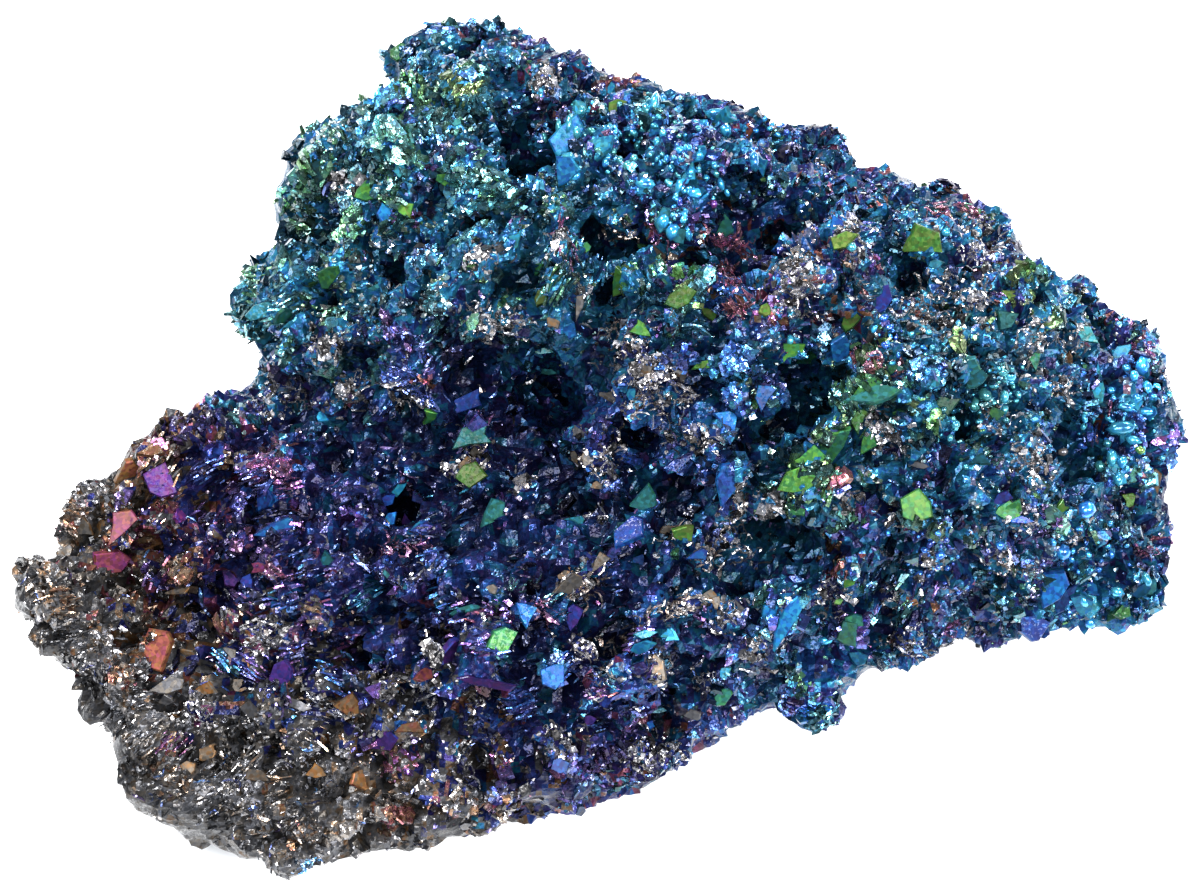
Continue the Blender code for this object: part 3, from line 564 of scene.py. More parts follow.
# Ridges of fine strings that run together: from, to, breadth of the bundle, film, strings
RIDGES = (
    ((705, 236), (742, 250), 7, 0.27, 60), ((718, 262), (738, 292), 9, 0.26, 80),
    ((722, 300), (742, 312), 5, 0.24, 36), ((926, 206), (942, 216), 6, 0.24, 40),
    ((958, 206), (975, 212), 5, 0.26, 30), ((846, 348), (872, 358), 7, 0.25, 50),
    ((858, 368), (900, 372), 5, 0.23, 50), ((1130, 345), (1150, 362), 7, 0.31, 50),
    ((1120, 320), (1138, 312), 4, 0.34, 14), ((645, 222), (672, 246), 6, 0.3, 16),
    ((1135, 560), (1158, 545), 5, 0.3, 16), ((930, 640), (960, 620), 5, 0.33, 16),
    ((400, 470), (412, 492), 3, 0.33, 10), ((380, 548), (425, 545), 7, 0.3, 40),
    ((1010, 560), (1050, 520), 5, 0.42, 24), ((1028, 610), (1040, 560), 4, 0.44, 18),
    ((780, 300), (845, 330), 4, 0.03, 24), ((850, 250), (862, 300), 4, 0.02, 20),
    ((600, 650), (680, 605), 6, 0.08, 44), ((565, 600), (605, 572), 7, 0.08, 30),
    ((640, 620), (700, 596), 4, 0.06, 24), ((700, 545), (722, 570), 4, 0.06, 12),
    ((560, 800), (640, 720), 6, 0.4, 40), ((300, 690), (350, 725), 6, 0.02, 30),
    ((230, 615), (300, 660), 6, 0.02, 40), ((470, 600), (535, 585), 3, 0.78, 16),
    ((350, 560), (420, 590), 3, 0.5, 16), ((990, 560), (1035, 575), 4, 0.05, 20),
    ((890, 660), (960, 640), 4, 0.03, 24), ((720, 160), (770, 150), 3, 0.04, 14),
    ((452, 640), (505, 612), 2, 0.02, 18), ((392, 587), (430, 568), 2, 0.02, 16),
    ((485, 598), (506, 614), 2, 0.9, 8), ((530, 594), (548, 614), 5, 0.3, 20),
    ((255, 455), (285, 470), 10, 0.31, 70), ((252, 565), (292, 578), 6, 0.28, 26),
    ((427, 280), (442, 335), 5, 0.76, 40), ((392, 325), (425, 355), 9, 0.52, 60),
    ((385, 360), (430, 400), 16, 0.54, 90),
    ((460, 300), (505, 330), 5, 0.03, 24), ((640, 290), (690, 330), 10, 0.7, 40),
    ((612, 640), (600, 700), 6, 0.04, 30), ((380, 380), (420, 400), 6, 0.02, 24),
    ((560, 205), (570, 260), 5, 0.3, 26), ((645, 195), (655, 240), 4, 0.42, 24),
)

# Rounded beads: (x, y), (length, breadth) in pixels, turn in degrees, film
BEADS = (
    ((560, 128), (10, 20), 5, 0.73), ((569, 124), (9, 22), -8, 0.72), ((577, 132), (8, 16), 0, 0.74),
    ((580, 111), (16, 11), 30, 0.74), ((566, 164), (26, 16), 70, 0.7), ((575, 176), (12, 9), 20, 0.68),
    ((654, 104), (12, 24), -10, 0.69), ((646, 110), (10, 16), 10, 0.71), ((663, 100), (9, 14), 0, 0.66),
    ((650, 133), (11, 12), 0, 0.73), ((642, 138), (8, 9), 0, 0.72), ((657, 142), (8, 9), 0, 0.72),
    ((641, 128), (7, 8), 0, 0.74), ((663, 133), (7, 8), 0, 0.7), ((637, 146), (7, 8), 0, 0.75),
    ((681, 150), (9, 8), 0, 0.68), ((681, 159), (8, 7), 0, 0.68), ((674, 158), (6, 6), 0, 0.68),
    ((698, 155), (14, 13), 20, 0.67), ((690, 172), (12, 14), 10, 0.66), ((671, 168), (7, 7), 0, 0.67),
    ((717, 115), (26, 14), -12, 0.68), ((726, 130), (12, 13), 20, 0.68), ((733, 118), (9, 8), 0, 0.7),
    ((646, 184), (20, 12), -5, 0.69), ((640, 182), (9, 9), 0, 0.7), ((679, 186), (8, 17), -12, 0.69),
    ((663, 221), (12, 14), -20, 0.68), ((673, 232), (15, 17), -25, 0.68), ((688, 234), (9, 15), 15, 0.66),
    ((681, 204), (7, 13), 8, 0.5), ((684, 214), (8, 11), 0, 0.68), ((698, 194), (20, 11), -5, 0.67),
    ((713, 204), (9, 9), 0, 0.36), ((720, 184), (9, 14), 20, 0.66), ((706, 178), (7, 7), 0, 0.67),
    ((754, 162), (11, 22), 5, 0.68), ((620, 160), (7, 9), 10, 0.75), ((627, 166), (8, 10), 0, 0.74),
    ((613, 152), (7, 8), 0, 0.8), ((634, 158), (7, 8), 0, 0.76), ((560, 146), (7, 8), 0, 0.6),
    ((545, 138), (6, 12), 10, 0.74), ((1118, 355), (15, 15), 0, 0.66), ((1126, 368), (9, 8), 0, 0.66),
    ((1142, 366), (15, 20), 10, 0.62), ((1134, 376), (10, 12), 0, 0.67), ((1146, 388), (12, 13), 0, 0.67),
    ((1125, 407), (18, 9), -8, 0.68), ((1147, 411), (22, 10), 0, 0.68), ((1137, 398), (10, 10), 0, 0.66),
    ((1121, 428), (28, 15), 5, 0.7), ((1133, 440), (18, 10), -15, 0.7), ((1107, 443), (9, 9), 0, 0.71),
    ((1112, 458), (13, 17), 0, 0.69), ((1100, 466), (10, 12), 20, 0.73), ((1118, 479), (11, 14), 0, 0.71),
    ((1122, 462), (10, 12), 0, 0.67), ((1086, 510), (18, 18), 0, 0.62), ((1010, 376), (12, 12), 0, 0.71),
    ((1004, 396), (9, 13), 0, 0.72), ((1062, 552), (17, 15), 0, 0.63), ((1140, 450), (10, 8), 0, 0.96),
    ((1063, 452), (11, 8), 10, 0.02), ((1117, 592), (15, 11), 0, 0.68), ((1083, 600), (10, 16), 20, 0.67),
    ((1090, 622), (11, 12), 0, 0.66), ((1146, 580), (9, 17), 20, 0.72), ((946, 232), (9, 9), 0, 0.68),
    ((977, 233), (12, 12), 0, 0.68), ((851, 247), (10, 9), 0, 0.72), ((826, 640), (16, 9), 10, 0.66),
    ((940, 555), (10, 9), 0, 0.58), ((1000, 545), (9, 9), 0, 0.6), ((955, 425), (9, 9), 0, 0.72),
    ((975, 405), (10, 13), 10, 0.76), ((985, 395), (12, 14), 30, 0.78), ((790, 340), (8, 10), 0, 0.7),
)
# Where small beads crowd: (centre), reach, count, film
BEAD_CROWDS = (
    ((600, 140), 34, 40, 0.7), ((655, 135), 26, 40, 0.72), ((690, 170), 34, 60, 0.67),
    ((675, 225), 20, 20, 0.66), ((1125, 420), 34, 60, 0.68), ((1000, 385), 22, 30, 0.73),
    ((780, 130), 26, 24, 0.62), ((960, 430), 30, 40, 0.72), ((930, 360), 24, 30, 0.7),
    ((1080, 560), 30, 40, 0.64), ((940, 560), 40, 50, 0.58), ((890, 340), 20, 20, 0.62),
)

# Where plates stand edge on, as laminae: (centre), reach, rise of the laminae in degrees
LAMINAE = (
    ((430, 580), 90, 14), ((330, 600), 60, 16), ((520, 540), 60, 14), ((245, 300), 50, 24),
    ((570, 280), 45, 78), ((1090, 420), 30, 86), ((250, 640), 45, -38), ((320, 710), 40, -26),
    ((170, 690), 40, 22), ((160, 750), 60, 26), ((90, 640), 45, 12), ((240, 790), 60, 20),
    ((850, 420), 45, 62), ((190, 500), 45, 35), ((270, 480), 40, 10),
    ((650, 620), 50, 24), ((560, 690), 50, 20), ((900, 600), 50, 60), ((470, 480), 40, 25),
)

# Large tablets: (x, y), (length, breadth) in pixels, turn in degrees, film
LARGE_TABLETS = (
    ((398, 52), (20, 15), 30, 0.90), ((320, 170), (25, 15), 70, 0.78), ((390, 118), (22, 15), 30, 0.76),
    ((455, 125), (22, 14), 40, 0.78), ((385, 150), (20, 14), 15, 0.74), ((400, 170), (20, 14), 50, 0.76),
    ((445, 178), (25, 12), 15, 0.88), ((375, 290), (30, 14), 30, 0.76), ((330, 275), (35, 20), 55, 0.86),
    ((260, 310), (50, 18), 20, 0.76), ((265, 335), (24, 14), 25, 0.68), ((515, 240), (26, 13), 84, 0.72),
    ((600, 145), (30, 20), 30, 0.68), ((580, 110), (24, 16), 50, 0.70), ((610, 90), (22, 14), 70, 0.68),
    ((650, 105), (22, 15), 60, 0.67), ((655, 130), (24, 14), 40, 0.66), ((725, 120), (30, 20), 25, 0.68),
    ((700, 155), (22, 16), 60, 0.67), ((690, 175), (22, 16), 80, 0.66), ((645, 185), (24, 15), 55, 0.68),
    ((700, 195), (22, 14), 70, 0.66), ((665, 220), (22, 14), 60, 0.67), ((680, 235), (20, 14), 50, 0.68),
    ((762, 165), (22, 14), 75, 0.66), ((615, 108), (20, 14), 20, 0.97), ((620, 280), (30, 25), 50, 0.92),
    ((642, 245), (18, 14), 80, 0.90), ((680, 300), (30, 18), 25, 0.92), ((790, 350), (24, 16), 40, 0.90),
    ((765, 310), (20, 15), 30, 0.98), ((543, 298), (34, 20), 66, 1.0), ((553, 323), (18, 15), 20, 0.07),
    ((845, 240), (24, 16), 30, 0.97), ((935, 265), (20, 12), 20, 0.67), ((835, 225), (24, 16), 60, 0.56),
    ((1010, 297), (22, 14), 45, 0.96), ((850, 320), (25, 18), 80, 0.92), ((840, 350), (30, 25), 40, 0.60),
    ((800, 510), (20, 15), 30, 0.88), ((970, 365), (25, 20), 50, 0.80), ((995, 415), (20, 15), 70, 0.88),
    ((980, 460), (18, 16), 20, 0.72), ((1010, 510), (25, 14), 25, 0.88),
    ((1060, 510), (22, 14), 40, 0.97), ((1085, 510), (18, 16), 0, 0.62),
    ((1005, 320), (25, 20), 70, 0.77), ((1155, 485), (45, 15), 85, 0.14),
    ((1130, 500), (22, 14), 60, 0.97), ((1120, 355), (22, 14), 60, 0.67),
    ((1140, 375), (20, 13), 45, 0.66), ((1135, 405), (20, 14), 60, 0.67),
    ((1150, 412), (18, 12), 40, 0.66), ((1125, 430), (22, 14), 70, 0.67),
    ((1115, 465), (20, 14), 50, 0.68), ((1120, 480), (18, 12), 30, 0.67),
    ((1082, 605), (28, 20), 80, 0.68), ((1090, 590), (18, 14), 20, 0.60),
    ((1140, 590), (20, 12), 10, 0.67), ((1165, 580), (25, 10), 80, 0.77),
    ((1115, 615), (20, 15), 20, 0.88), ((1085, 625), (18, 14), 50, 0.60),
    ((848, 635), (25, 18), 60, 0.77), ((857, 657), (18, 14), 20, 0.67), ((474, 438), (36, 32), 20, 0.80),
    ((431, 415), (26, 14), 80, 0.90), ((685, 534), (21, 18), 20, 0.99), ((572, 584), (30, 16), 35, 0.06),
    ((468, 475), (32, 28), 40, 0.99), ((455, 648), (56, 26), 8, 0.5), ((482, 682), (58, 12), -7, 0.42),
    ((425, 675), (26, 16), 20, 0.24), ((412, 727), (28, 14), 15, 0.17), ((655, 670), (26, 22), 30, 0.03),
    ((153, 450), (24, 17), 30, 0.16), ((130, 468), (37, 20), 75, 0.12), ((188, 576), (24, 24), 50, 0.2),
    ((179, 591), (38, 9), 4, 0.1), ((100, 530), (20, 14), 20, 0.10), ((65, 555), (20, 14), 30, 0.09),
    ((180, 515), (24, 18), 60, 0.34), ((280, 526), (40, 15), 10, 0.57), ((265, 500), (24, 16), 50, 0.56),
    ((325, 560), (26, 16), 30, 0.72), ((271, 592), (22, 9), 5, 0.02), ((310, 385), (22, 14), 40, 0.42),
    ((205, 690), (28, 12), 20, 0.09), ((240, 685), (26, 12), 25, 0.10), ((282, 675), (28, 20), 30, 0.42),
    ((350, 703), (26, 20), 20, 0.15), ((386, 740), (40, 24), 35, 0.42), ((210, 753), (19, 15), 20, 0.08),
    ((188, 768), (19, 15), 40, 0.09), ((258, 775), (20, 14), 10, 0.08), ((318, 770), (20, 14), 30, 0.11),
    ((359, 780), (25, 19), 15, 0.15), ((187, 653), (28, 6), 14, 0.08), ((232, 578), (24, 20), 60, 0.39),
    ((247, 581), (16, 13), 80, 0.5), ((261, 567), (20, 10), 8, 0.3), ((305, 708), (44, 12), -30, 0.02),
    ((253, 712), (26, 17), -10, 0.02), ((165, 702), (22, 13), 60, 0.02), ((230, 653), (22, 9), -40, 0.02),
    ((85, 528), (18, 18), 30, 0.1), ((249, 491), (20, 16), 40, 0.56), ((273, 498), (22, 12), 8, 0.6),
    ((386, 574), (14, 9), -50, 0.75), ((493, 589), (15, 11), 10, 0.03), ((283, 317), (26, 14), 20, 0.79),
    ((262, 337), (20, 15), 40, 0.68), ((423, 250), (26, 20), 60, 0.03), ((569, 330), (14, 14), 40, 0.62),
    ((579, 298), (34, 8), 82, 0.02), ((538, 268), (16, 12), 60, 0.88), ((587, 247), (13, 10), 80, 0.86),
    ((708, 313), (20, 11), -50, 0.98), ((542, 371), (42, 5), -4, 0.74), ((645, 372), (18, 13), 30, 0.06),
    ((681, 372), (20, 14), 80, 0.07), ((610, 396), (17, 16), 20, 0.04), ((631, 393), (15, 10), 85, 0.68),
    ((600, 562), (26, 14), 38, 0.05), ((565, 575), (20, 12), 40, 0.08), ((572, 615), (26, 16), 75, 0.46),
    ((575, 455), (12, 20), 0, 0.07), ((588, 460), (16, 12), 60, 0.08), ((598, 484), (22, 12), 10, 0.05),
    ((466, 463), (14, 10), 40, 0.07), ((476, 452), (12, 10), 10, 0.05), ((668, 530), (14, 12), 0, 0.08),
    ((708, 598), (24, 22), 20, 0.05), ((716, 604), (14, 10), 60, 0.03), ((640, 668), (18, 12), 10, 0.46),
    ((644, 634), (22, 11), 15, 0.7), ((668, 633), (15, 12), 30, 0.7), ((618, 660), (12, 9), 50, 0.3),
    ((750, 655), (26, 8), -30, 0.06), ((740, 608), (14, 8), -60, 0.03), ((848, 580), (18, 14), 60, 0.95),
    ((838, 600), (16, 10), 20, 0.9), ((852, 622), (24, 16), 20, 0.76), ((700, 556), (22, 18), 40, 0.54),
    ((612, 552), (24, 12), 30, 0.5), ((640, 560), (20, 10), 20, 0.55), ((694, 716), (18, 12), -20, 0.03),
    ((724, 672), (16, 12), 50, 0.7), ((722, 696), (20, 12), 60, 0.8), ((745, 706), (22, 12), 30, 0.76),
    ((608, 700), (16, 12), 50, 0.5), ((650, 725), (14, 12), 30, 0.6), ((588, 720), (18, 12), 70, 0.44),
    ((810, 358), (24, 18), 20, 0.8), ((880, 300), (34, 20), 60, 0.5), ((846, 322), (22, 8), 85, 0.93),
    ((905, 410), (26, 12), 30, 0.87), ((870, 440), (28, 12), 60, 0.88), ((893, 372), (30, 14), -10, 0.8),
    ((935, 380), (16, 14), 30, 0.74), ((1098, 395), (56, 16), 88, 0.72),
    ((1068, 360), (22, 10), 80, 0.14), ((1035, 355), (26, 10), 85, 0.84),
    ((1065, 600), (40, 14), 60, 0.58), ((1040, 630), (24, 18), 0, 0.55), ((960, 545), (16, 12), 20, 0.52),
    ((1020, 520), (30, 12), 0, 0.55), ((1000, 500), (24, 14), 50, 0.5), ((1089, 600), (45, 35), 40, 0.69),
    ((1122, 611), (35, 20), 20, 0.88), ((1150, 589), (40, 15), 70, 0.74), ((1055, 589), (40, 28), 70, 0.57),
    ((1033, 628), (44, 38), 20, 0.55), ((944, 405), (34, 28), 60, 0.82), ((972, 378), (30, 24), 30, 0.78),
    ((833, 444), (34, 24), 40, 0.87), ((878, 394), (50, 22), 10, 0.8), ((1005, 511), (25, 20), 20, 0.87),
    ((385, 500), (22, 14), 10, 0.54), ((419, 497), (22, 12), 150, 0.5), ((390, 519), (24, 12), 40, 0.58),
    ((417, 518), (22, 12), 120, 0.45), ((400, 485), (24, 13), 80, 0.62), ((407, 525), (20, 11), 95, 0.4),
)
# Those that catch the light, in the same terms. Their higher tones are painted light
LIT_TABLETS = (
    ((365, 195), (30, 22), 20, 0.90), ((385, 215), (25, 18), 60, 0.60), ((405, 212), (25, 16), 85, 0.93),
    ((567, 135), (35, 25), 70, 0.68), ((565, 170), (30, 24), 60, 0.67), ((725, 230), (35, 20), 65, 0.77),
    ((640, 328), (22, 20), 30, 0.93), ((705, 365), (25, 14), 10, 0.93), ((925, 240), (45, 36), 35, 0.95),
    ((870, 390), (35, 20), 20, 0.90), ((860, 415), (30, 20), 70, 0.90), ((810, 460), (30, 20), 20, 0.90),
    ((800, 482), (40, 22), 15, 0.92), ((920, 465), (30, 8), 0, 0.02), ((915, 510), (35, 28), 25, 0.90),
    ((1085, 335), (28, 20), 15, 0.77), ((787, 620), (58, 22), 65, 0.62), ((770, 610), (22, 16), 30, 0.65),
    ((730, 480), (45, 26), 68, 0.62), ((728, 420), (32, 24), 75, 0.58), ((764, 395), (29, 17), 70, 0.62),
    ((644, 500), (38, 24), 30, 0.77), ((631, 530), (50, 30), 50, 0.58), ((575, 520), (35, 9), 5, 0.76),
    ((493, 512), (32, 18), 40, 0.77), ((462, 405), (46, 20), 25, 0.55), ((545, 351), (29, 8), 5, 0.76),
    ((502, 640), (31, 28), 10, 0.84), ((466, 610), (60, 13), 14, 0.76), ((525, 612), (25, 18), 75, 0.60),
    ((555, 673), (25, 22), 40, 0.60), ((560, 765), (22, 20), 20, 0.58), ((640, 647), (25, 10), 20, 0.67),
    ((672, 635), (14, 12), 40, 0.67), ((160, 482), (33, 30), 35, 0.40), ((122, 524), (40, 30), 70, 0.26),
    ((112, 560), (42, 26), -4, 0.27), ((325, 416), (23, 19), 60, 0.60), ((157, 652), (40, 30), 75, 0.18),
    ((172, 684), (44, 17), 22, 0.04),
)


# ---------------------------------------------------------------- sight line


def sight_axes():
    """Unit vectors to the right, up the picture, and towards the eye."""
    low, high = math.cos(SIGHT_ELEVATION), math.sin(SIGHT_ELEVATION)
    return np.array((1, 0, 0)), np.array((0, high, low)), np.array((0, -low, high))


RIGHT, PICTURE_UP, TOWARD_EYE = sight_axes()
EYE = SIGHT_TARGET + TOWARD_EYE * SIGHT_DISTANCE


def to_pixels(points):
    """Where points show in the photograph, and how far they are from the eye, (N, 3)."""
    away = points - EYE
    depth = -(away @ TOWARD_EYE)
    scale = SIGHT_DISTANCE / depth / PIXEL
    x = PHOTO_SIZE[0] / 2 + (away @ RIGHT) * scale
    y = PHOTO_SIZE[1] / 2 - (away @ PICTURE_UP) * scale
    return np.column_stack((x, y, depth))


def pixel_ray(x, y):
    """The ray from the eye through a pixel of the photograph: its start and its direction."""
    across = (x - PHOTO_SIZE[0] / 2) * PIXEL
    up = (PHOTO_SIZE[1] / 2 - y) * PIXEL
    ray = SIGHT_TARGET + RIGHT * across + PICTURE_UP * up - EYE
    return Vector(EYE), Vector(ray).normalized()


def facing_eye(normals):
    """How squarely surfaces face the eye, from 0 to 1."""
    return np.abs(normals @ TOWARD_EYE)


def picture_direction(degrees):
    """Unit vectors along a rise in the picture, and across it."""
    angle = np.radians(degrees)[:, None]
    along = np.cos(angle) * RIGHT + np.sin(angle) * PICTURE_UP
    across = -np.sin(angle) * RIGHT + np.cos(angle) * PICTURE_UP
    return along, across


# ---------------------------------------------------------------- small helpers


def unit(vectors):
    return vectors / np.maximum(np.linalg.norm(vectors, axis=-1, keepdims=True), TINY)


def column(table, place):
    return np.array([row[place] for row in table], float)


def columns(table, *places):
    """Some columns of a table, side by side."""
    return np.array([[row[place] for place in places] for row in table], float)


def chance(rng, count, share):
    """Which of count draws from 0 to 1 fall below a share."""
    return rng.uniform(0, 1, count) < share


def smooth_step(values, low, high):
    share = np.clip((values - low) / (high - low), 0, 1)
    return share * share * (3 - 2 * share)


def linear(srgb):
    """An sRGB colour in linear light."""
    return tuple(c / 12.92 if c <= 0.04045 else ((c + 0.055) / 1.055) ** 2.4 for c in srgb)


def nearest_of(points, targets):
    """The number of the target nearest to each point."""
    tree = KDTree(len(targets))
    for number, target in enumerate(targets):
        tree.insert(target, number)
    tree.balance()
    return np.array([tree.find(point)[1] for point in points])


def link(item):
    bpy.context.scene.collection.objects.link(item)
    return item


# ---------------------------------------------------------------- the tables' regions


def zone_weights(points):
    """How much of each zone there is at each point."""
    apart = ((points[:, None, :2] - column(ZONES, 0)[None]) ** 2).sum(2)
    weights = np.exp(-apart / (2 * column(ZONES, 1) ** 2)) + LEAST_WEIGHT
    return weights / weights.sum(1, keepdims=True)


def soft_mix(points, *places):
    """Each point's values from the zones' columns, mixed by how near the zones are."""
    return (zone_weights(points) @ columns(ZONES, *places)).T


def drawn_film(points, rng):
    """Each point's film and how much it varies, from one of its zones, drawn by weight."""
    total = zone_weights(points).cumsum(1)
    zone = (total[:, :-1] < rng.uniform(0, 1, (len(points), 1))).sum(1)
    return columns(ZONES, FILM, VARIETY)[zone].T


def nearness(pixels, table):
    """How near each point is to the nearest place of a table, from 0 to 1, and which it is."""
    offset = pixels[:, None, :2] - column(table, 0)[None]
    reaches = column(table, 1).reshape(len(table), -1)
    apart = ((offset / reaches[None]) ** 2).sum(2)
    return np.exp(-FADE * apart.min(1) ** FADE_POWER), apart.argmin(1)


def waves(x, y, table):
    """The sum of a table's waves at each point."""
    return sum(np.sin(x / across + y / down) for across, down in table)


def darkness(pixels):
    """How deep in a crevice of painted shade each point shows, from 0 to 1. The edges wander."""
    x, y = pixels[:, 0], pixels[:, 1]
    across = x + WANDER * waves(x, y, WAVES_ACROSS)
    down = y + WANDER * waves(x, y, WAVES_DOWN)
    return nearness(np.column_stack((across, down)), CREVICES)[0]


def calmness(pixels):
    """How smooth and bare the crust is at each point, from 0 to 1."""
    return nearness(pixels, CALM)[0]


# ---------------------------------------------------------------- meshes


def mesh_of(name, points, loops, totals):
    """A mesh from its corners, the corner numbers of its faces, and their counts."""
    mesh = bpy.data.meshes.new(name)
    mesh.vertices.add(len(points))
    mesh.vertices.foreach_set("co", points.ravel())
    mesh.loops.add(len(loops))
    mesh.loops.foreach_set("vertex_index", loops)
    mesh.polygons.add(len(totals))
    mesh.polygons.foreach_set("loop_start", np.concatenate(([0], np.cumsum(totals)[:-1])))
    mesh.polygons.foreach_set("loop_total", totals)
    mesh.update(calc_edges=True)
    return mesh


def mesh_arrays(mesh):
    """A mesh's points, their normals, and its edges."""
    points = np.empty(len(mesh.vertices) * 3)
    mesh.vertices.foreach_get("co", points)
    normals = np.empty(len(mesh.vertices) * 3)
    mesh.vertex_normals.foreach_get("vector", normals)
    edges = np.empty(len(mesh.edges) * 2, int)
    mesh.edges.foreach_get("vertices", edges)
    return points.reshape(-1, 3), normals.reshape(-1, 3), edges.reshape(-1, 2)


def first_corners(mesh):
    """The first corner of each face."""
    starts = np.empty(len(mesh.polygons), int)
    mesh.polygons.foreach_get("loop_start", starts)
    corners = np.empty(len(mesh.loops), int)
    mesh.loops.foreach_get("vertex_index", corners)
    return corners[starts]


def triangle_corners(mesh):
    """The three corners of each triangle, (N, 3)."""
    mesh.calc_loop_triangles()
    triangles = np.empty(len(mesh.loop_triangles) * 3, int)
    mesh.loop_triangles.foreach_get("vertices", triangles)
    return triangles.reshape(-1, 3)


def skin_tree(mesh):
    return BVHTree.FromPolygons(
        [vertex.co for vertex in mesh.vertices],
        [face.vertices for face in mesh.polygons],
    )


def add_attribute(mesh, name, values, domain="FACE"):
    made = mesh.attributes.new(name, "FLOAT", domain)
    made.data.foreach_set("value", np.asarray(values, np.float32).ravel())


def add_local(mesh, places):
    """Where each point is in its own crystal, in millimetres, for the materials' flakes."""
    made = mesh.attributes.new("local", "FLOAT_VECTOR", "POINT")
    made.data.foreach_set("vector", np.asarray(places, np.float32).ravel())


# ---------------------------------------------------------------- the skin


def fine_skin(node):
    """The solid's mesh again, in even little quads."""
    skin = node.copy()
    skin.data = node.data.copy()
    skin.parent = None
    skin.name = "crust"
    # The marks that the frame put on the solid stay with the solid
    for key in list(skin.keys()):
        del skin[key]
    link(skin)
    weld = skin.modifiers.new("weld", "WELD")
    weld.merge_threshold = WELD_REACH
    remesh = skin.modifiers.new("even quads", "REMESH")
    remesh.mode = "VOXEL"
    remesh.voxel_size = SKIN_VOXEL
    graph = bpy.context.evaluated_depsgraph_get()
    graph.update()
    mesh = bpy.data.meshes.new_from_object(skin.evaluated_get(graph))
    mesh.materials.clear()
    mesh.name = "crust"
    skin.modifiers.clear()
    skin.data = mesh
    return skin


def smoothed(values, edges, rounds):
    """Values averaged with their neighbours' along the mesh's edges, again and again."""
    count = np.bincount(edges.ravel(), minlength=len(values)).astype(float)[:, None]
    for _ in range(rounds):
        total = np.empty_like(values)
        for axis in range(values.shape[1]):
            one = values[:, axis]
            total[:, axis] = (
                np.bincount(edges[:, 0], one[edges[:, 1]], len(values))
                + np.bincount(edges[:, 1], one[edges[:, 0]], len(values))
            )
        values = 0.5 * values + 0.5 * total / count
    return values


def knob_places(mesh, points, outward, rng):
    """The middles and reaches of the table's knobs, and of others where the eye doesn't see."""
    tree = skin_tree(mesh)
    middles, reaches = [], []
    for x, y, reach in KNOBS:
        place = tree.ray_cast(*pixel_ray(x, y))[0]
        if place is not None:
            middles.append(place)
            reaches.append(reach * PIXEL)
    hidden = np.flatnonzero((outward @ TOWARD_EYE < HIDDEN_FACING) & (points[:, 2] > KNOB_FLOOR))
    middles, reaches = np.array(middles), np.array(reaches)
    for number in rng.choice(hidden, KNOB_TRIES):
        reach = KNOB_REACH * rng.uniform(*KNOB_SHARES)
        apart = np.linalg.norm(middles - points[number], axis=1)
        if (apart > KNOB_SPACING * (reaches + reach)).all():
            middles = np.vstack((middles, points[number]))
            reaches = np.append(reaches, reach)
    return middles, reaches


def clefts(mesh, points, outward, rng):
    """How far each point is in a cleft between the knobs, from 0 to 1, and its knob's number."""
    nearest = np.full(len(points), np.inf)
    knob = np.zeros(len(points), int)
    for number, (middle, reach) in enumerate(zip(*knob_places(mesh, points, outward, rng))):
        apart = np.linalg.norm(points - middle, axis=1) / reach
        knob[apart < nearest] = number
        nearest = np.minimum(nearest, apart)
    return smooth_step(nearest, *CLEFT_SPAN), knob


def sinking(points, outward, relief, cleft):
    """How far each point of the skin moves along its way out, to deepen hollows and clefts."""
    deeper = np.clip(relief * HOLLOW_GAIN, -HOLLOW_REACH, 0)
    deeper -= CLEFT_DEPTH * cleft * np.clip(CLEFT_FACING * outward @ TOWARD_EYE, LEAST_CLEFT, 1)
    seen = to_pixels(points)
    # hollows stay shallower where crevice shade is painted instead, or where the crust is calm
    deeper *= 1 - STILL_SHARE * np.maximum(darkness(seen), calmness(seen))
    return deeper


def break_into_faces(points, normals, rng):
    """Move the skin onto little flat faces: each takes the points nearest its own middle.

    Where the crust is calm the skin hardly moves."""
    count = int(FACE_CROWDING * SKIN_SURFACE / SKIN_FACE ** 2)
    seeds = rng.choice(len(points), count, replace=False)
    owner = nearest_of(points, points[seeds])
    tilted = unit(normals[seeds] + rng.normal(0, SKIN_TILT, (count, 3)))
    step = rng.normal(0, SKIN_STEP, count)
    gap = ((points[seeds][owner] - points) * tilted[owner]).sum(1)
    lean = np.clip((normals * tilted[owner]).sum(1), LEAST_LEAN, 1)
    push = np.clip(gap / lean + step[owner], -SKIN_REACH, SKIN_REACH)
    push *= 1 - STILL_FACES * calmness(to_pixels(points))
    return points + normals * push[:, None], owner, seeds


def crust_tone(film, cover, relief, cleft, dark):
    """How light the crust is where it isn't bare: painted light on heights, painted shade in hollows and
    clefts, and painted fill light in crevices.
    """
    least, gain = CRUST_TONE
    # painted light on heights and painted shade in hollows, by relief
    tone = (least + gain * cover) * np.clip(1 + relief / CRUST_RELIEF, *CRUST_LIGHT)
    tone = np.where(film < GREY_FILM, CRUST_GREY * tone, tone)
    # painted fill light in crevices and painted shade in clefts
    return tone * ((1 + CRUST_CREVICE_FILL * dark) * (1 - CRUST_CLEFT_SHADE * cleft))


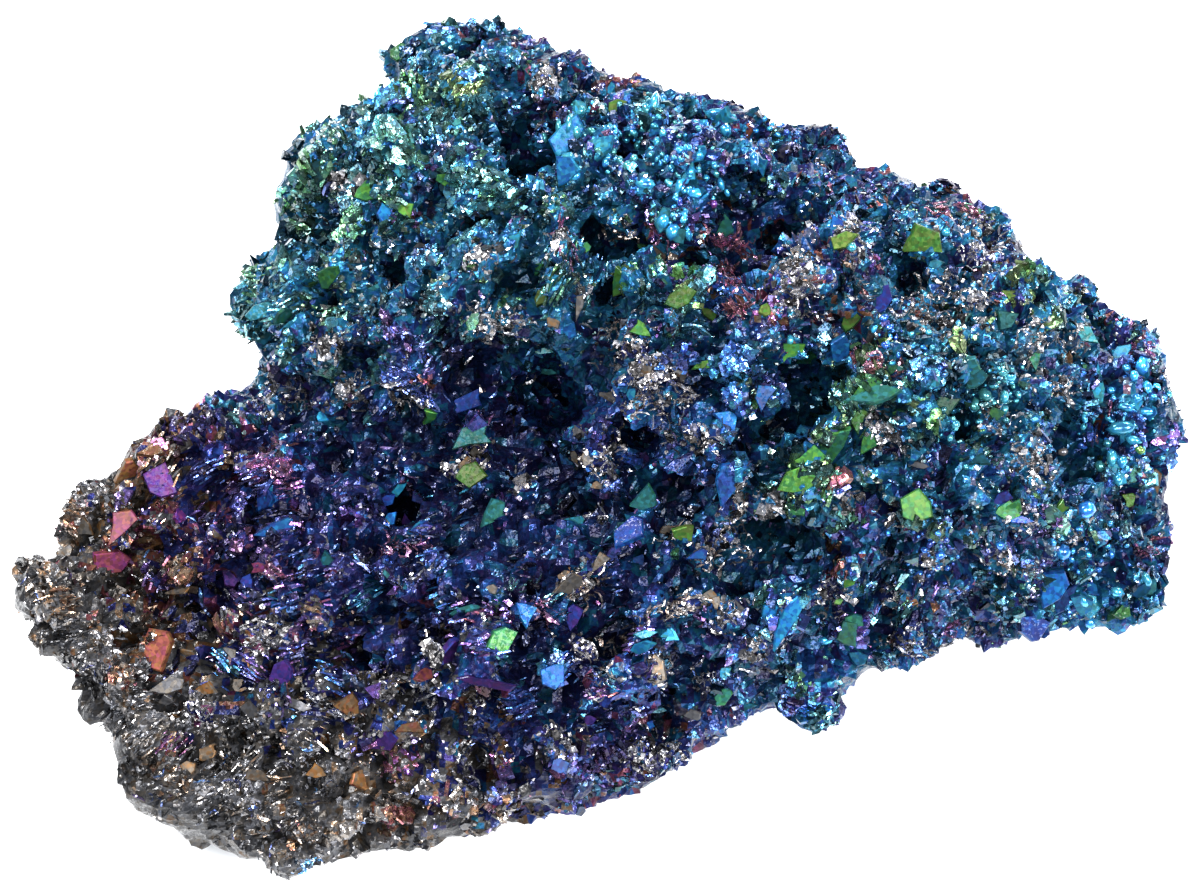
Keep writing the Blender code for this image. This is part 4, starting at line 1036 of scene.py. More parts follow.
def colour_crust(mesh, points, relief, cleft, owner, seeds, rng):
    """Give the crust its film and frost, face by face, and its tone."""
    pixels = to_pixels(points)
    frosted, cover = soft_mix(pixels, FROSTED, COVER)
    film, varies = drawn_film(pixels[seeds], rng)
    film = (film + rng.normal(0, CRUST_VARIETY, len(seeds)) * varies)[owner]
    film = np.where(film > TINTED_FILM, np.clip(film, *NAVY_FILM), film)
    dark = darkness(pixels)
    bare = calmness(pixels) > BARE
    tone = np.where(bare, BARE_TONE, crust_tone(film, cover, relief, cleft, dark))
    # no frost where crevice or cleft shade is painted
    frosted = np.where(np.maximum(dark, cleft) > FROST_LIMIT, 0, CRUST_FROSTED * frosted * cover)
    frosted = np.where(bare, BARE_FROSTED, frosted)
    frost = (rng.uniform(0, 1, len(seeds))[owner] < frosted) * CRUST_FROST
    corner = first_corners(mesh)
    add_attribute(mesh, "film", np.clip(film, 0, 1)[corner])
    add_attribute(mesh, "frost", frost[corner])
    add_attribute(mesh, "tone", tone, "POINT")
    add_local(mesh, points / MM)


def make_crust(node, rng):
    """The skin with clefts and flat faces, and what the crystals need to know of it."""
    crust = fine_skin(node)
    mesh = crust.data
    points, normals, edges = mesh_arrays(mesh)
    mass = smoothed(points.copy(), edges, SMOOTHING_ROUNDS)
    outward = unit(smoothed(normals.copy(), edges, OUTWARD_ROUNDS))
    relief = ((points - mass) * outward).sum(1)
    cleft, knob = clefts(mesh, points, outward, rng)
    deeper = sinking(points, outward, relief, cleft)
    on_table = points[:, 2] < FOOT_HEIGHT
    deeper[on_table] = 0
    broken, owner, seeds = break_into_faces(points + outward * deeper[:, None], normals, rng)
    broken[on_table, 2] = points[on_table, 2]
    broken[:, 2] = np.maximum(broken[:, 2], 0)
    mesh.vertices.foreach_set("co", broken.ravel())
    mesh.update()
    mesh.shade_flat()
    colour_crust(mesh, broken, relief, cleft, owner, seeds, rng)
    return crust, {"outward": outward, "relief": relief, "cleft": cleft, "knob": knob}


# ---------------------------------------------------------------- the shapes of crystals


def outlines(crystals, sides, rng):
    """Corners of many-sided outlines of size 1, across and along: (count, sides) each."""
    count = len(crystals["centre"])
    ragged = crystals["ragged"][:, None]
    turns = rng.normal(0, CORNER_TURN, (count, sides))
    angles = np.arange(sides) * math.tau / sides + turns * ragged
    radii = 0.5 * (1 + rng.uniform(-CORNER_REACH, CORNER_REACH, (count, sides)) * ragged)
    radii[:, ::2] *= 1 - crystals["pointed"][:, None]
    return np.cos(angles) * radii, np.sin(angles) * radii


def crystal_points(crystals, sides, rings, rng):
    """The corners of closed crystals, ring by ring, and the same in each one's own frame."""
    across, along = outlines(crystals, sides, rng)
    length, breadth, thickness = crystals["size"].T[:, :, None]
    own = []
    for height, width in rings:
        wide = 1 - (1 - width) * crystals["taper"][:, None]
        rise = np.broadcast_to(thickness * height, across.shape)
        own.append(np.stack((across * wide * length, along * wide * breadth, rise), 2))
    own = np.stack(own, 1)
    frame = np.stack(crystals["axes"], 1)[:, None]
    world = own @ frame + crystals["centre"][:, None, None]
    shift = rng.uniform(0, PATTERN_SHIFT, (len(world), 1, 1, 3))
    return world.reshape(-1, 3), (own / MM + shift).reshape(-1, 3)


def prism_faces(sides, rings, turn=1):
    """Corner numbers of a closed prism's faces: its foot, its sides and its top.

    turn is -1 where the corners run the other way round."""
    faces = [list(range(sides))[::-turn]]
    for low in range(0, sides * (rings - 1), sides):
        for corner in range(sides):
            pair = [low + corner, low + (corner + 1) % sides][::turn]
            faces.append(pair + [sides + number for number in pair[::-1]])
    faces.append(list(range(sides * (rings - 1), sides * rings))[::turn])
    return faces


def triangles_of(sides, rings):
    return 2 * (sides - 2) + 2 * sides * (rings - 1)


def crystal_mesh(name, groups, rng, smooth=False):
    """One mesh of many closed crystals. groups are (crystals, sides, rings)."""
    points, local, loops, totals = [], [], [], []
    values = {"film": [], "frost": [], "tone": []}
    first = 0
    for crystals, sides, rings in groups:
        count = len(crystals["centre"])
        world, own = crystal_points(crystals, sides, rings, rng)
        faces = prism_faces(sides, len(rings))
        starts = first + np.arange(count)[:, None] * sides * len(rings)
        points.append(world)
        local.append(own)
        loops.append((starts + np.concatenate(faces)).ravel())
        totals.append(np.tile([len(face) for face in faces], count))
        first += len(world)
        varied = rng.normal(0, 1, (count, len(faces)))
        values["film"].append(crystals["film"][:, None] + FACE_FILM * varied)
        values["frost"].append(np.repeat(crystals["frost"][:, None], len(faces), 1))
        values["tone"].append(crystals["tone"][:, None] * (1 + FACE_TONE * varied))
    mesh = mesh_of(name, np.concatenate(points), np.concatenate(loops), np.concatenate(totals))
    if smooth:
        mesh.shade_smooth()
    else:
        mesh.shade_flat()
    for key, found in values.items():
        spread = np.concatenate([part.ravel() for part in found])
        add_attribute(mesh, key, np.clip(spread, 0, VALUE_LIMIT))
    add_local(mesh, np.concatenate(local))
    return link(bpy.data.objects.new(name, mesh))


def axes_from(thick_way, hint):
    """Three perpendicular unit vectors: along the length, across it and through the plate."""
    long_way = unit(hint - (hint * thick_way).sum(1, keepdims=True) * thick_way)
    return long_way, np.cross(thick_way, long_way), thick_way


def chosen(crystals, mask):
    """The crystals that a mask keeps."""
    picked = {key: value[mask] for key, value in crystals.items() if key != "axes"}
    picked["axes"] = tuple(axis[mask] for axis in crystals["axes"])
    return picked


# ---------------------------------------------------------------- small crystals


def scatter_places(mesh, ground, rng):
    """Seeded places on the skin, even over its area but thinner underneath, and the ground there."""
    triangles = triangle_corners(mesh)
    points = mesh_arrays(mesh)[0]
    a, b, c = (points[triangles[:, k]] for k in range(3))
    areas = np.linalg.norm(np.cross(b - a, c - a), axis=1) / 2
    facing = ground["outward"][triangles].mean(1)
    weight = areas * np.where(facing[:, 2] > UNDERNEATH, 1, UNDER_SHARE)
    weight *= np.clip(1 + ground["relief"][triangles].mean(1) / SOWN_RELIEF, *SOWN_SPAN)
    weight *= a[:, 2] > SOWN_FLOOR
    picked = rng.choice(len(triangles), CRYSTALS, p=weight / weight.sum())
    share = rng.uniform(0, 1, (CRYSTALS, 2))
    over = share.sum(1) > 1
    share[over] = 1 - share[over]
    spots = a[picked] + (b - a)[picked] * share[:, :1] + (c - a)[picked] * share[:, 1:]
    corners = triangles[picked]
    here = {
        "outward": unit(facing[picked]),
        "relief": ground["relief"][corners].mean(1),
        "cleft": ground["cleft"][corners].mean(1),
        "knob": ground["knob"][corners[:, 0]],
        "knobs": ground["knob"].max() + 1,
    }
    return spots, here


def patch_habits(pixels, rng):
    """What each patch is made of, and which way its laminae rise."""
    frosted = soft_mix(pixels, FROSTED)[0] + GRAIN_SHARE
    habit = rng.choice((PLATES, BLADES, BLOCKS), PATCHES, p=HABIT_SHARES)
    habit[chance(rng, PATCHES, frosted)] = GRAINS
    offset = pixels[:, None, :2] - column(LAMINAE, 0)[None]
    apart = np.linalg.norm(offset, axis=2) / column(LAMINAE, 1)
    habit[(apart.min(1) < 1) & chance(rng, PATCHES, LAMINA_SHARE)] = LAMINAS
    rise = column(LAMINAE, 2)[apart.argmin(1)]
    return habit, rise + rng.normal(0, RISE_SPREAD, PATCHES)


def patch_directions(outward, habit, rise, rng):
    """The way each patch's plates face, and the way their length runs."""
    lean = rng.uniform(*PATCH_LEAN, (PATCHES, 1))
    facing = unit(outward * lean + rng.normal(0, PATCH_SCATTER, (PATCHES, 3)))
    length_way = rng.normal(0, 1, (PATCHES, 3))
    along, across = picture_direction(rise)
    layered = habit == LAMINAS
    facing[layered] = unit(across + TOWARD_EYE * rng.normal(*LAMINA_LEAN, (PATCHES, 1)))[layered]
    length_way[layered] = along[layered]
    return facing, length_way


def add_kinds(here, habit, rng):
    """Add each crystal's kind: its patch's, but for strays and for the grains of druses."""
    kind = habit[here["patch"]]
    strays = chance(rng, CRYSTALS, STRAYS)
    kind[strays] = rng.choice((PLATES, BLADES, BLOCKS, GRAINS), strays.sum())
    silvery, here["druse"] = nearness(here["pixels"], DRUSES)
    here["silvery"] = rng.uniform(0, DRUSE_EDGE, CRYSTALS) < silvery
    kind[here["silvery"]] = GRAINS
    here["kind"], here["grains"] = kind, kind == GRAINS


def crystal_sizes(here, usual, spread, least, most, flat, rng):
    """Each crystal's length, breadth and thickness."""
    length = usual * MM * np.exp(rng.normal(0, 1, CRYSTALS) * spread) * here["scale"]
    length *= np.clip(1 + here["relief"] / LENGTH_RELIEF, *LENGTH_SPAN)
    shortest, slope = FACING_LENGTH
    length *= np.clip(shortest + slope * facing_eye(here["outward"]), *FACING_SPAN)
    length[here["silvery"]] *= SILVERY_LENGTH
    length = np.minimum(length, LONGEST) * (1 - RIM_SHRINK * here["rim"])
    breadth = length * rng.uniform(least, most)
    thickness = length * flat * rng.uniform(*THICKNESS_SPAN, CRYSTALS)
    return np.column_stack((length, breadth, thickness))


def crystal_films(film, varies, here, rng):
    """Each crystal's film: its patch's, varied, and silvery in a druse."""
    silvery = here["silvery"]
    film = film + varies * rng.normal(0, PATCH_VARIETY, PATCHES)[here["patch"]]
    film = film + varies * rng.normal(0, CRYSTAL_VARIETY, CRYSTALS)
    film = film + varies * rng.normal(0, KNOB_VARIETY, here["knobs"])[here["knob"]]
    tinted = column(DRUSES, 2)[here["druse"][silvery]]
    tinted = np.where(tinted < GREY_FILM, SILVER_FILM * tinted, tinted)
    film[silvery] = tinted + rng.normal(0, DRUSE_VARIETY, silvery.sum())
    return film


def crystal_frost(film, here, rng):
    """How frosted each crystal is: the grains most, and others where they cover all."""
    grains = rng.uniform(*GRAIN_FROST, CRYSTALS)
    frost = np.where(here["grains"], grains, rng.uniform(*PLATE_FROST, CRYSTALS))
    covered = COVER_FROST * np.maximum(here["cover"] - FULL_COVER, 0)
    return frost + np.where(film > TINTED_FILM, covered, 0)


def crystal_tones(film, here, rng):
    """How light each crystal is, by its place (painted light and shade by relief, painted shade in crevices
    and clefts), its kind and chance.
    """
    cover, silvery = here["cover"], here["silvery"]
    # painted light on heights and painted shade in hollows, by relief
    lit = np.clip(1 + here["relief"] / LIT_RELIEF, *LIT_SPAN)
    bright = rng.uniform(0, 1, CRYSTALS)
    power = BRIGHT_POWER[0] - BRIGHT_POWER[1] * cover
    plain = PLAIN_TONE[0] + PLAIN_TONE[1] * cover
    plain = plain + (BRIGHT_TONE[0] - BRIGHT_TONE[1] * cover) * bright ** power
    tone = np.where(here["grains"], GRAIN_TONE[0] + GRAIN_TONE[1] * bright, plain) * lit
    tone = np.where(film < GREY_FILM, GREY_TONE * tone, tone)
    by_patch = np.exp(rng.normal(*PATCH_TONE, PATCHES))[here["patch"]]
    tone *= by_patch * np.exp(rng.normal(*KNOB_TONE, here["knobs"]))[here["knob"]]
    worms = chance(rng, silvery.sum(), WORM_SHARE)
    worm_tones = rng.uniform(*WORM_TONE, len(worms))
    tone[silvery] = np.where(worms, worm_tones, rng.uniform(*GAP_TONE, len(worms)))
    dashes = (here["kind"] == LAMINAS) & chance(rng, CRYSTALS, DASH_SHARE)
    tone[dashes] *= DASH_GAIN
    # painted shade in crevices and clefts
    return tone * ((1 - CREVICE_SHADE * here["dark"]) * (1 - CLEFT_SHADE * here["cleft"]))


def dulled(film, tone, silvery):
    """The film, turned toward navy where a tinted crystal is dim."""
    dimness = np.clip(DULL_SLOPE[0] - DULL_SLOPE[1] * tone, 0, 1)
    dull = np.where((film > TINTED_FILM) & ~silvery, dimness, 0)
    return film + dull * (np.clip(film, *NAVY_FILM) - film)


def staying(crystals, here, rng):
    """Which crystals stay: clear of the table, and fewer where the skin is dark or bare."""
    reach = np.linalg.norm(crystals["size"], axis=1) / 2
    clear = crystals["centre"][:, 2] - reach > TABLE_GAP
    bare = rng.uniform(0, 1, PATCHES)[here["patch"]] > here["cover"]
    share = np.where(bare, BARE_KEPT, np.where(here["grains"], GRAINS_KEPT, PLATES_KEPT))
    share = np.where(here["silvery"], 1, share)
    share *= 1 - DARK_LOSS * here["dark"]
    calm = 1 - CALM_LOSS * calmness(here["pixels"])
    share *= (1 - CLEFT_LOSS * here["cleft"]) * calm * (1 - RIM_LOSS * here["rim"])
    return clear & chance(rng, CRYSTALS, share)


def grow_crystals(mesh, ground, rng):
    """Every small crystal's place, direction, size and film, patch by patch."""
    spots, here = scatter_places(mesh, ground, rng)
    here["pixels"] = pixels = to_pixels(spots)
    seeds = rng.choice(len(spots), PATCHES, replace=False)
    blurred = spots + rng.normal(0, PATCH_BLUR, spots.shape)
    here["patch"] = patch = nearest_of(blurred, spots[seeds])
    habit, rise = patch_habits(pixels[seeds], rng)
    facing, length_way = patch_directions(here["outward"][seeds], habit, rise, rng)
    add_kinds(here, habit, rng)
    *proportions, loose, sunk = columns(HABITS, *range(1, len(HABITS[0])))[here["kind"]].T
    thick_way = unit(facing[patch] + rng.normal(0, 1, (CRYSTALS, 3)) * loose[:, None])
    hint = length_way[patch] + rng.normal(0, 1, (CRYSTALS, 3)) * loose[:, None]

    here["cover"], here["scale"] = soft_mix(pixels, COVER, SCALE)
    here["rim"] = np.clip(1 - RIM_SLOPE * facing_eye(here["outward"]), 0, 1)
    here["dark"] = darkness(pixels)
    film, varies = drawn_film(pixels[seeds], rng)[:, patch]
    size = crystal_sizes(here, *proportions, rng)
    film = crystal_films(film, varies, here, rng)
    frost = crystal_frost(film, here, rng)
    tone = crystal_tones(film, here, rng)
    pointed = chance(rng, CRYSTALS, POINTED_SHARE) * rng.uniform(*POINTED_SPAN, CRYSTALS)
    sides = rng.choice(SIDES, CRYSTALS, p=SIDE_SHARES)
    sides[here["grains"]] = rng.choice(GRAIN_SIDES, here["grains"].sum())
    sunken = size[:, 1] * (sunk - RIM_SINK * here["rim"])
    crystals = {
        "centre": spots + here["outward"] * sunken[:, None],
        "axes": axes_from(thick_way, hint),
        "size": size,
        "ragged": np.where(here["grains"], RAGGED_GRAIN, RAGGED_PLATE),
        "pointed": pointed,
        "taper": rng.uniform(*TAPER_SPAN, CRYSTALS),
        "film": np.clip(dulled(film, tone, here["silvery"]), 0, 1),
        "frost": frost,
        "tone": tone,
        "sides": sides,
    }
    return chosen(crystals, staying(crystals, here, rng))


def in_pieces(crystals):
    """The small crystals from left to right, in groups small enough for a piece each."""
    cost = triangles_of(crystals["sides"], len(PLAIN_RINGS))
    order = np.argsort(crystals["centre"][:, 0], kind="stable")
    number = np.empty(len(order), int)
    number[order] = np.cumsum(cost[order]) // PIECE_TRIANGLES
    for piece in range(number.max() + 1):
        masks = [(number == piece) & (crystals["sides"] == sides) for sides in SIDES]
        yield [(chosen(crystals, mask), sides, PLAIN_RINGS) for mask, sides in zip(masks, SIDES)]


# ---------------------------------------------------------------- the tables' crystals


def named_crystals(skin, table, habit, rng):
    """The crystals of a table, each where it shows and turned a little from the eye.

    Only ragged ones are pointed, so beads aren't."""
    thick, loose, ragged, tones = habit
    rows = []
    for row in table:
        place, normal, _, _ = skin.ray_cast(*pixel_ray(*row[0]))
        if place is not None and facing_eye(np.array(normal)) > LEAST_FACING:
            rows.append((np.array(place), np.array(normal), *row[1:]))
    places, normals, sizes, turns, films = (np.array(values, float) for values in zip(*rows))
    count = len(places)
    facing = TOWARD_EYE + GROUND_LEAN * normals + rng.normal(0, loose, (count, 3))
    length, breadth = sizes.T * PIXEL
    longer, broader = TABLET_GROWTH
    return {
        "centre": places + TOWARD_EYE * TABLET_LIFT,
        "axes": axes_from(unit(facing), picture_direction(turns)[0]),
        "size": np.column_stack((length * longer, breadth * broader, breadth * thick)),
        "ragged": np.full(count, ragged),
        "pointed": chance(rng, count, POINTED_TABLETS) * TABLET_POINT * (ragged > 1),
        "taper": rng.uniform(*TABLET_TAPER, count),
        "film": np.clip(films + rng.normal(0, TABLET_FILM, count), 0, 1),
        "frost": np.zeros(count),
        "tone": rng.uniform(*tones, count),
    }


def bead_table(rng):
    """The named beads, and small ones scattered where they crowd."""
    table = list(BEADS)
    for (x, y), reach, count, film in BEAD_CROWDS:
        spread = reach * CROWD_SPREAD
        for _ in range(int(count * CROWD_SHARE)):
            spot = (x + rng.normal(0, spread), y + rng.normal(0, spread))
            breadth = rng.uniform(*CROWD_BREADTHS)
            size = (breadth * rng.uniform(*CROWD_LENGTHS), breadth)
            table.append((spot, size, rng.uniform(0, 180), film + rng.normal(0, CROWD_FILM)))
    return table


def uncovered(spots, large):
    """Which spots don't stand in front of a large crystal."""
    clear = np.ones(len(spots), bool)
    long_way, wide_way, _ = large["axes"]
    nearest, furthest = CLEARED_DEPTHS
    for number, centre in enumerate(large["centre"]):
        away = spots - centre
        length, breadth, _ = large["size"][number] * CLEARED_SHARE
        along = away @ long_way[number] / length
        across = away @ wide_way[number] / breadth
        toward = away @ TOWARD_EYE
        clear &= ~((along ** 2 + across ** 2 < 1) & (toward > nearest) & (toward < furthest))
    return clear


# ---------------------------------------------------------------- fine strings


def string_row(spot, rise, film, kind, rng, power=1):
    """One string's start, rise in degrees, film, tone and how much it wanders."""
    spread, tones, wander = kind
    rise = rise + rng.normal(0, spread)
    return (*spot, rise, film, rng.uniform(*tones) ** power, wander)


def string_starts(rng):
    """Where strings begin: in druses, along ridges, and anywhere else along the laminae."""
    rows = []
    for (x, y), reach, film, rise in DRUSES:
        spread = reach * DRUSE_SPREAD
        for _ in range(int(reach ** 2 * STRINGS_BY_REACH)):
            spot = (x + rng.normal(0, spread), y + rng.normal(0, spread))
            rows.append(string_row(spot, rise, film, DRUSE_STRINGS, rng))
    for (x0, y0), (x1, y1), breadth, film, count in RIDGES:
        rise = math.degrees(math.atan2(y0 - y1, x1 - x0))
        for share in rng.uniform(0, 1, count):
            spot = (x0 + (x1 - x0) * share, y0 + (y1 - y0) * share)
            spot = (spot[0] + rng.normal(0, breadth / 2), spot[1] + rng.normal(0, breadth / 2))
            rows.append(string_row(spot, rise, film, RIDGE_STRINGS, rng))
    while len(rows) < STRINGS:
        spot = rng.uniform((0, 0), PHOTO_SIZE)
        apart = [math.dist(spot, row[0]) / row[1] for row in LAMINAE]
        rise = LAMINAE[int(np.argmin(apart))][2]
        film = rng.choice(OTHER_FILMS)
        rows.append(string_row(spot, rise, film, OTHER_STRINGS, rng, OTHER_POWER))
    return rows


def string_paths(skin, rows, rng):
    """Strings that follow the skin: their points, the skin's normals there, and their rows."""
    paths, normals, kept = [], [], []
    for row in rows:
        x, y, rise, _, _, wander = row
        place, normal, _, _ = skin.ray_cast(*pixel_ray(x, y))
        if place is None or place.z < STRING_FLOOR or facing_eye(np.array(normal)) < HIDDEN_FACING:
            continue
        way = Vector(picture_direction(np.array([rise]))[0][0])
        step = STRING_STEP * rng.uniform(*STRING_STEPS)
        bend = rng.normal(0, wander)
        steady, shaky = STRING_BEND
        points, ups = [], []
        for _ in range(STRING_POINTS):
            points.append(place + normal * STRING_RADIUS)
            ups.append(normal)
            way = (way - normal * way.dot(normal)).normalized()
            way = way + normal.cross(way) * (bend * steady + rng.normal(0, wander * shaky))
            place, normal, _, _ = skin.find_nearest(place + way.normalized() * step)
        paths.append(points)
        normals.append(ups)
        kept.append(row)
    return np.array(paths), np.array(normals), np.array(kept)


def string_mesh(name, skin, rng):
    """One mesh of closed three-sided strings, thin at both ends."""
    paths, normals, rows = string_paths(skin, string_starts(rng), rng)
    count, length, _ = paths.shape
    way = unit(np.gradient(paths, axis=1))
    side = unit(np.cross(normals, way))
    up = np.cross(way, side)
    swell = np.sin(np.linspace(STRING_TIP, math.pi - STRING_TIP, length))[None, :, None]
    radius = STRING_RADIUS * rng.uniform(*STRING_RADII, (count, 1, 1)) * swell
    corners = []
    for angle in map(math.radians, STRING_CORNERS):
        aside = math.cos(angle) * side + STRING_HEIGHT * math.sin(angle) * up
        corners.append(paths + radius * aside)
    points = np.stack(corners, 2).reshape(-1, 3)
    faces = prism_faces(len(STRING_CORNERS), length, turn=-1)
    starts = np.arange(count)[:, None] * len(STRING_CORNERS) * length
    loops = (starts + np.concatenate(faces)).ravel()
    mesh = mesh_of(name, points, loops, np.tile([len(face) for face in faces], count))
    mesh.shade_flat()
    each = (count, len(faces))
    film = rows[:, 3:4] + rng.normal(0, FACE_FILM, each)
    add_attribute(mesh, "film", np.clip(film, 0, 1))
    add_attribute(mesh, "frost", np.full(each, STRING_FROST))
    add_attribute(mesh, "tone", rows[:, 4:5] * rng.uniform(*STRING_TONES, each))
    add_local(mesh, points / MM)
    return link(bpy.data.objects.new(name, mesh))


# ---------------------------------------------------------------- materials


def new_material(name):
    """A material with a shader that reaches its output: the material, its tree, the shader."""
    material = bpy.data.materials.new(name)
    material.use_nodes = True
    tree = material.node_tree
    tree.nodes.clear()
    shader = tree.nodes.new("ShaderNodeBsdfPrincipled")
    output = tree.nodes.new("ShaderNodeOutputMaterial")
    tree.links.new(shader.outputs["BSDF"], output.inputs["Surface"])
    return material, tree, shader


def feed(tree, socket, value):
    """Set a socket to a number or a colour, or link it to another socket."""
    if isinstance(value, (int, float)):
        socket.default_value = value
    elif isinstance(value, tuple):
        socket.default_value = (*linear(value), 1)
    else:
        tree.links.new(value, socket)


def attribute_node(tree, name, output="Fac"):
    node = tree.nodes.new("ShaderNodeAttribute")
    node.attribute_name = name
    return node.outputs[output]


def maths(tree, operation, first, second, clamp=False):
    node = tree.nodes.new("ShaderNodeMath")
    node.operation = operation
    node.use_clamp = clamp
    for socket, value in zip(node.inputs, (first, second)):
        feed(tree, socket, value)
    return node.outputs[0]


def vector_maths(tree, operation, first, second=None, scale=None):
    node = tree.nodes.new("ShaderNodeVectorMath")
    node.operation = operation
    tree.links.new(first, node.inputs[0])
    if isinstance(second, tuple):
        node.inputs[1].default_value = second
    elif second is not None:
        tree.links.new(second, node.inputs[1])
    if scale is not None:
        feed(tree, node.inputs["Scale"], scale)
    return node.outputs[0]


def noise_node(tree, scale, detail, roughness=0.5, place=None):
    node = tree.nodes.new("ShaderNodeTexNoise")
    node.inputs["Scale"].default_value = scale
    node.inputs["Detail"].default_value = detail
    node.inputs["Roughness"].default_value = roughness
    if place is not None:
        tree.links.new(place, node.inputs["Vector"])
    return node.outputs["Fac"]


def cell_node(tree, scale, place):
    """A random colour for each cell of the given size, in cells a millimetre."""
    node = tree.nodes.new("ShaderNodeTexVoronoi")
    node.inputs["Scale"].default_value = scale
    tree.links.new(place, node.inputs["Vector"])
    return node.outputs["Color"]


def mix_colours(tree, kind, amount, first, second):
    node = tree.nodes.new("ShaderNodeMix")
    node.data_type = "RGBA"
    node.blend_type = kind
    colours = [socket for socket in node.inputs if socket.type == "RGBA"]
    for socket, value in zip((node.inputs[0], *colours), (amount, first, second)):
        feed(tree, socket, value)
    return next(socket for socket in node.outputs if socket.type == "RGBA")


def film_ramp(tree, factor):
    """The film's colour. The places are set first, since they put the ramp in order."""
    node = tree.nodes.new("ShaderNodeValToRGB")
    ramp = node.color_ramp
    while len(ramp.elements) < len(FILM_COLOURS):
        ramp.elements.new(0.5)
    for element, (place, _) in zip(ramp.elements, FILM_COLOURS):
        element.position = place
    for element, (_, colour) in zip(ramp.elements, FILM_COLOURS):
        element.color = (*linear(colour), 1)
    tree.links.new(factor, node.inputs["Fac"])
    return node.outputs["Color"]


def flaky_normal(tree, flakes, glitter, amount, fine):
    """The surface's normal, tilted flake by flake, and again in much finer flakes."""
    facing = tree.nodes.new("ShaderNodeNewGeometry").outputs["Normal"]
    for cells, tilt in ((flakes, amount), (glitter, fine)):
        shift = vector_maths(tree, "SUBTRACT", cells, HALF)
        shift = vector_maths(tree, "SCALE", shift, scale=tilt)
        facing = vector_maths(tree, "ADD", facing, shift)
    return vector_maths(tree, "NORMALIZE", facing)


def film_colour(tree, place, cell, haze, speck):
    """The film's own colour, a little uneven, and greyed by haze."""
    drift = maths(tree, "SUBTRACT", noise_node(tree, *PATCHY_NOISE, place=place), 0.5)
    drift = maths(tree, "MULTIPLY", drift, FILM_DRIFT)
    specks = maths(tree, "MULTIPLY", maths(tree, "SUBTRACT", cell.outputs[0], 0.5), speck)
    film = maths(tree, "ADD", attribute_node(tree, "film"), maths(tree, "ADD", drift, specks))
    return mix_colours(tree, "MIX", haze, film_ramp(tree, film), HAZE_COLOUR)


def frosted_and_shaded(tree, colour, frost, cell, mottle):
    """A colour with frost on some of its flakes, made lighter or darker by its tone."""
    flakes = maths(tree, "ADD", cell.outputs[1], FROST_BASE)
    mask = maths(tree, "MULTIPLY", frost, flakes, clamp=True)
    colour = mix_colours(tree, "MIX", mask, colour, FROST_COLOUR)
    uneven = maths(tree, "MULTIPLY", cell.outputs[2], 2 * mottle)
    uneven = maths(tree, "ADD", uneven, 1 - mottle)
    shade = maths(tree, "MULTIPLY", attribute_node(tree, "tone"), uneven)
    grey = tree.nodes.new("ShaderNodeCombineColor")
    for socket in grey.inputs:
        tree.links.new(shade, socket)
    return mix_colours(tree, "MULTIPLY", 1.0, colour, grey.outputs[0])


def crystal_material(name):
    """Crystal coloured by its film, frosted grey where its grains are fine."""
    flake, glint, mottle, rough, speck, haze, metal, coat = LOOKS[name]
    material, tree, shader = new_material(name)
    place = attribute_node(tree, "local", "Vector")
    flakes = cell_node(tree, FLAKE_CELLS, place)
    glitter = cell_node(tree, GLITTER_CELLS, place)
    cell = tree.nodes.new("ShaderNodeSeparateColor")
    tree.links.new(flakes, cell.inputs[0])
    frost = attribute_node(tree, "frost")
    colour = film_colour(tree, place, cell, haze, speck)
    colour = frosted_and_shaded(tree, colour, frost, cell, mottle)
    tree.links.new(colour, shader.inputs["Base Color"])

    shader.inputs["Metallic"].default_value = metal
    shader.inputs["Specular IOR Level"].default_value = coat
    shader.inputs["Coat Weight"].default_value = coat
    shader.inputs["Coat Roughness"].default_value = COAT_ROUGHNESS
    fine = noise_node(tree, *FINE_NOISE, place=place)
    roughness = maths(tree, "ADD", maths(tree, "MULTIPLY", fine, ROUGH_RANGE), rough)
    tree.links.new(roughness, shader.inputs["Roughness"])
    amount = maths(tree, "ADD", maths(tree, "MULTIPLY", frost, FROST_FLAKES), flake)
    normal = flaky_normal(tree, flakes, glitter, amount, glint)
    tree.links.new(normal, shader.inputs["Normal"])
    tree.links.new(normal, shader.inputs["Coat Normal"])
    return material


def floor_material():
    material, tree, shader = new_material("pale_floor")
    colour = mix_colours(tree, "MIX", noise_node(tree, *FLOOR_NOISE), *FLOOR_COLOURS)
    tree.links.new(colour, shader.inputs["Base Color"])
    shader.inputs["Roughness"].default_value = FLOOR_ROUGHNESS
    return material


# ---------------------------------------------------------------- studio


def add_camera():
    """The camera at the photograph's viewing angle, with its framing."""
    data = bpy.data.cameras.new("camera")
    data.sensor_width = SENSOR_WIDTH
    data.lens = data.sensor_width * SIGHT_DISTANCE / (PHOTO_SIZE[0] * PIXEL)
    data.clip_start = CLIP_START
    camera = link(bpy.data.objects.new("camera", data))
    camera.location = EYE
    camera.rotation_euler = Vector(-TOWARD_EYE).to_track_quat("-Z", "Y").to_euler()
    bpy.context.scene.camera = camera


def add_light(name, place, size, watts):
    """A soft rectangular light that faces the stone."""
    data = bpy.data.lights.new(name, "AREA")
    data.energy = watts
    data.shape = "RECTANGLE"
    data.size, data.size_y = size
    light = link(bpy.data.objects.new(name, data))
    light.location = place
    away = Vector(SIGHT_TARGET) - Vector(place)
    light.rotation_euler = away.to_track_quat("-Z", "Y").to_euler()


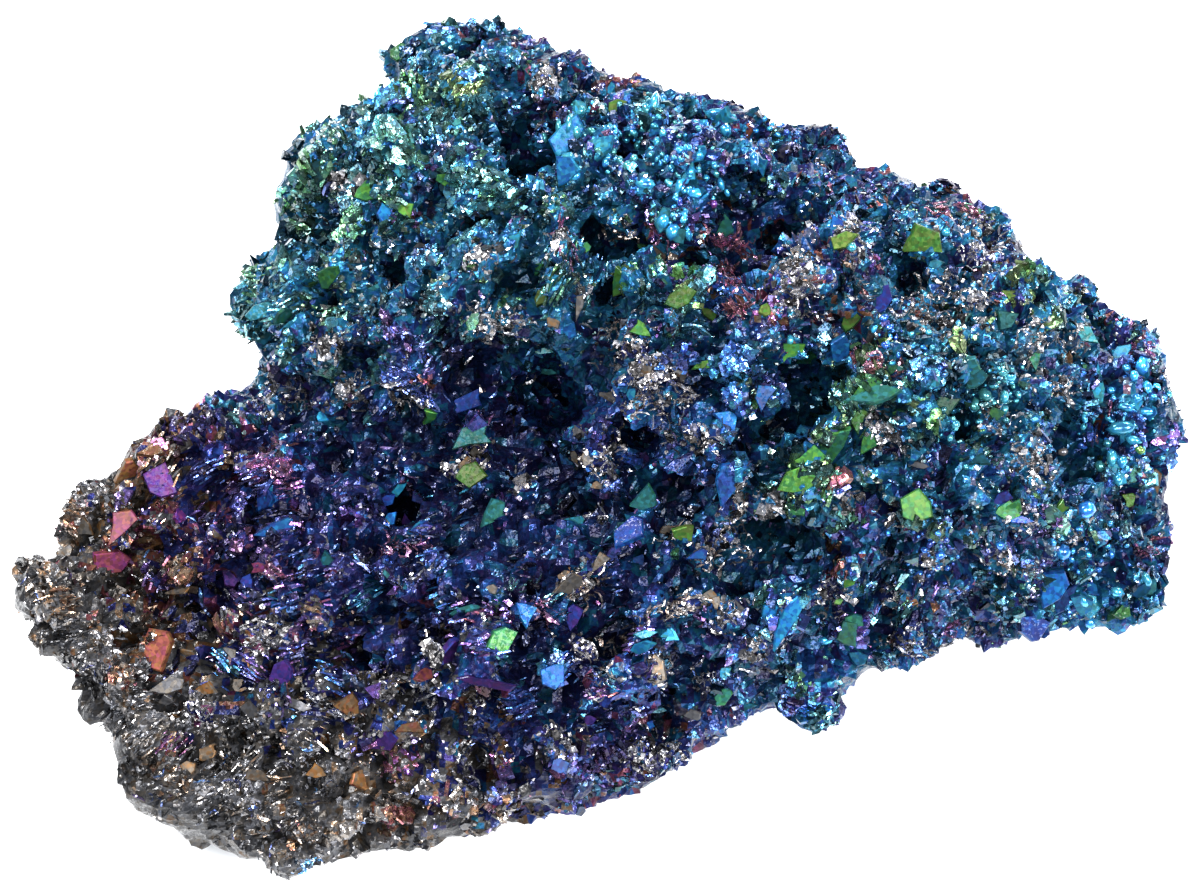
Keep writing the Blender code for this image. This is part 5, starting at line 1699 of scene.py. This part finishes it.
def add_floor():
    mesh = bpy.data.meshes.new("floor")
    corners = [(x * FLOOR_REACH, y * FLOOR_REACH, 0) for x, y in ((-1, -1), (1, -1), (1, 1), (-1, 1))]
    mesh.from_pydata(corners, [], [(0, 1, 2, 3)])
    floor = link(bpy.data.objects.new("floor", mesh))
    mesh.materials.append(floor_material())


def add_studio():
    """The floor, the lights and a pale blue sky."""
    add_floor()
    for name, light in LIGHTS.items():
        add_light(name, *light)
    reach, size, watts = FRONT_LIGHT
    add_light("front", EYE * reach, size, watts)
    world = bpy.data.worlds.new("studio")
    world.use_nodes = True
    background = world.node_tree.nodes["Background"]
    background.inputs["Color"].default_value = SKY_COLOUR
    background.inputs["Strength"].default_value = SKY_STRENGTH
    bpy.context.scene.world = world
    bpy.context.scene.view_settings.view_transform = "Standard"


# ---------------------------------------------------------------- the whole


def make_pieces(node, rng):
    """The visible pieces, by the name of their look."""
    crust, ground = make_crust(node, rng)
    crystals = grow_crystals(crust.data, ground, rng)
    skin = skin_tree(crust.data)
    large = named_crystals(skin, LARGE_TABLETS, LARGE_HABIT, rng)
    lit = named_crystals(skin, LIT_TABLETS, LIT_HABIT, rng)
    beads = named_crystals(skin, bead_table(rng), BEAD_HABIT, rng)
    for others in (large, lit, beads):
        crystals = chosen(crystals, uncovered(crystals["centre"], others))

    small = []
    for number, groups in enumerate(in_pieces(crystals), 1):
        small.append(crystal_mesh(f"crystals_{number}", groups, rng))
    strings = string_mesh("strings", skin, rng)
    shapes = [(each, TABLET_SIDES, BEVELLED_RINGS) for each in (large, lit)]
    tablets = crystal_mesh("large_tablets", shapes, rng)
    rounded = crystal_mesh("beads", [(beads, BEAD_SIDES, BEAD_RINGS)], rng, smooth=True)
    return {
        "crust": [crust],
        "small_crystals": small,
        "string_crystals": [strings],
        "large_crystals": [tablets],
        "bead_crystals": [rounded],
    }


def main():
    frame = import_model()
    rng = np.random.default_rng(SEED)
    node = frame["nodes"][NODE]
    add_camera()
    add_studio()
    for name, pieces in make_pieces(node, rng).items():
        look = crystal_material(name)
        for piece in pieces:
            piece.data.materials.append(look)
            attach(piece, "root")
            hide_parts(NODE)


main()
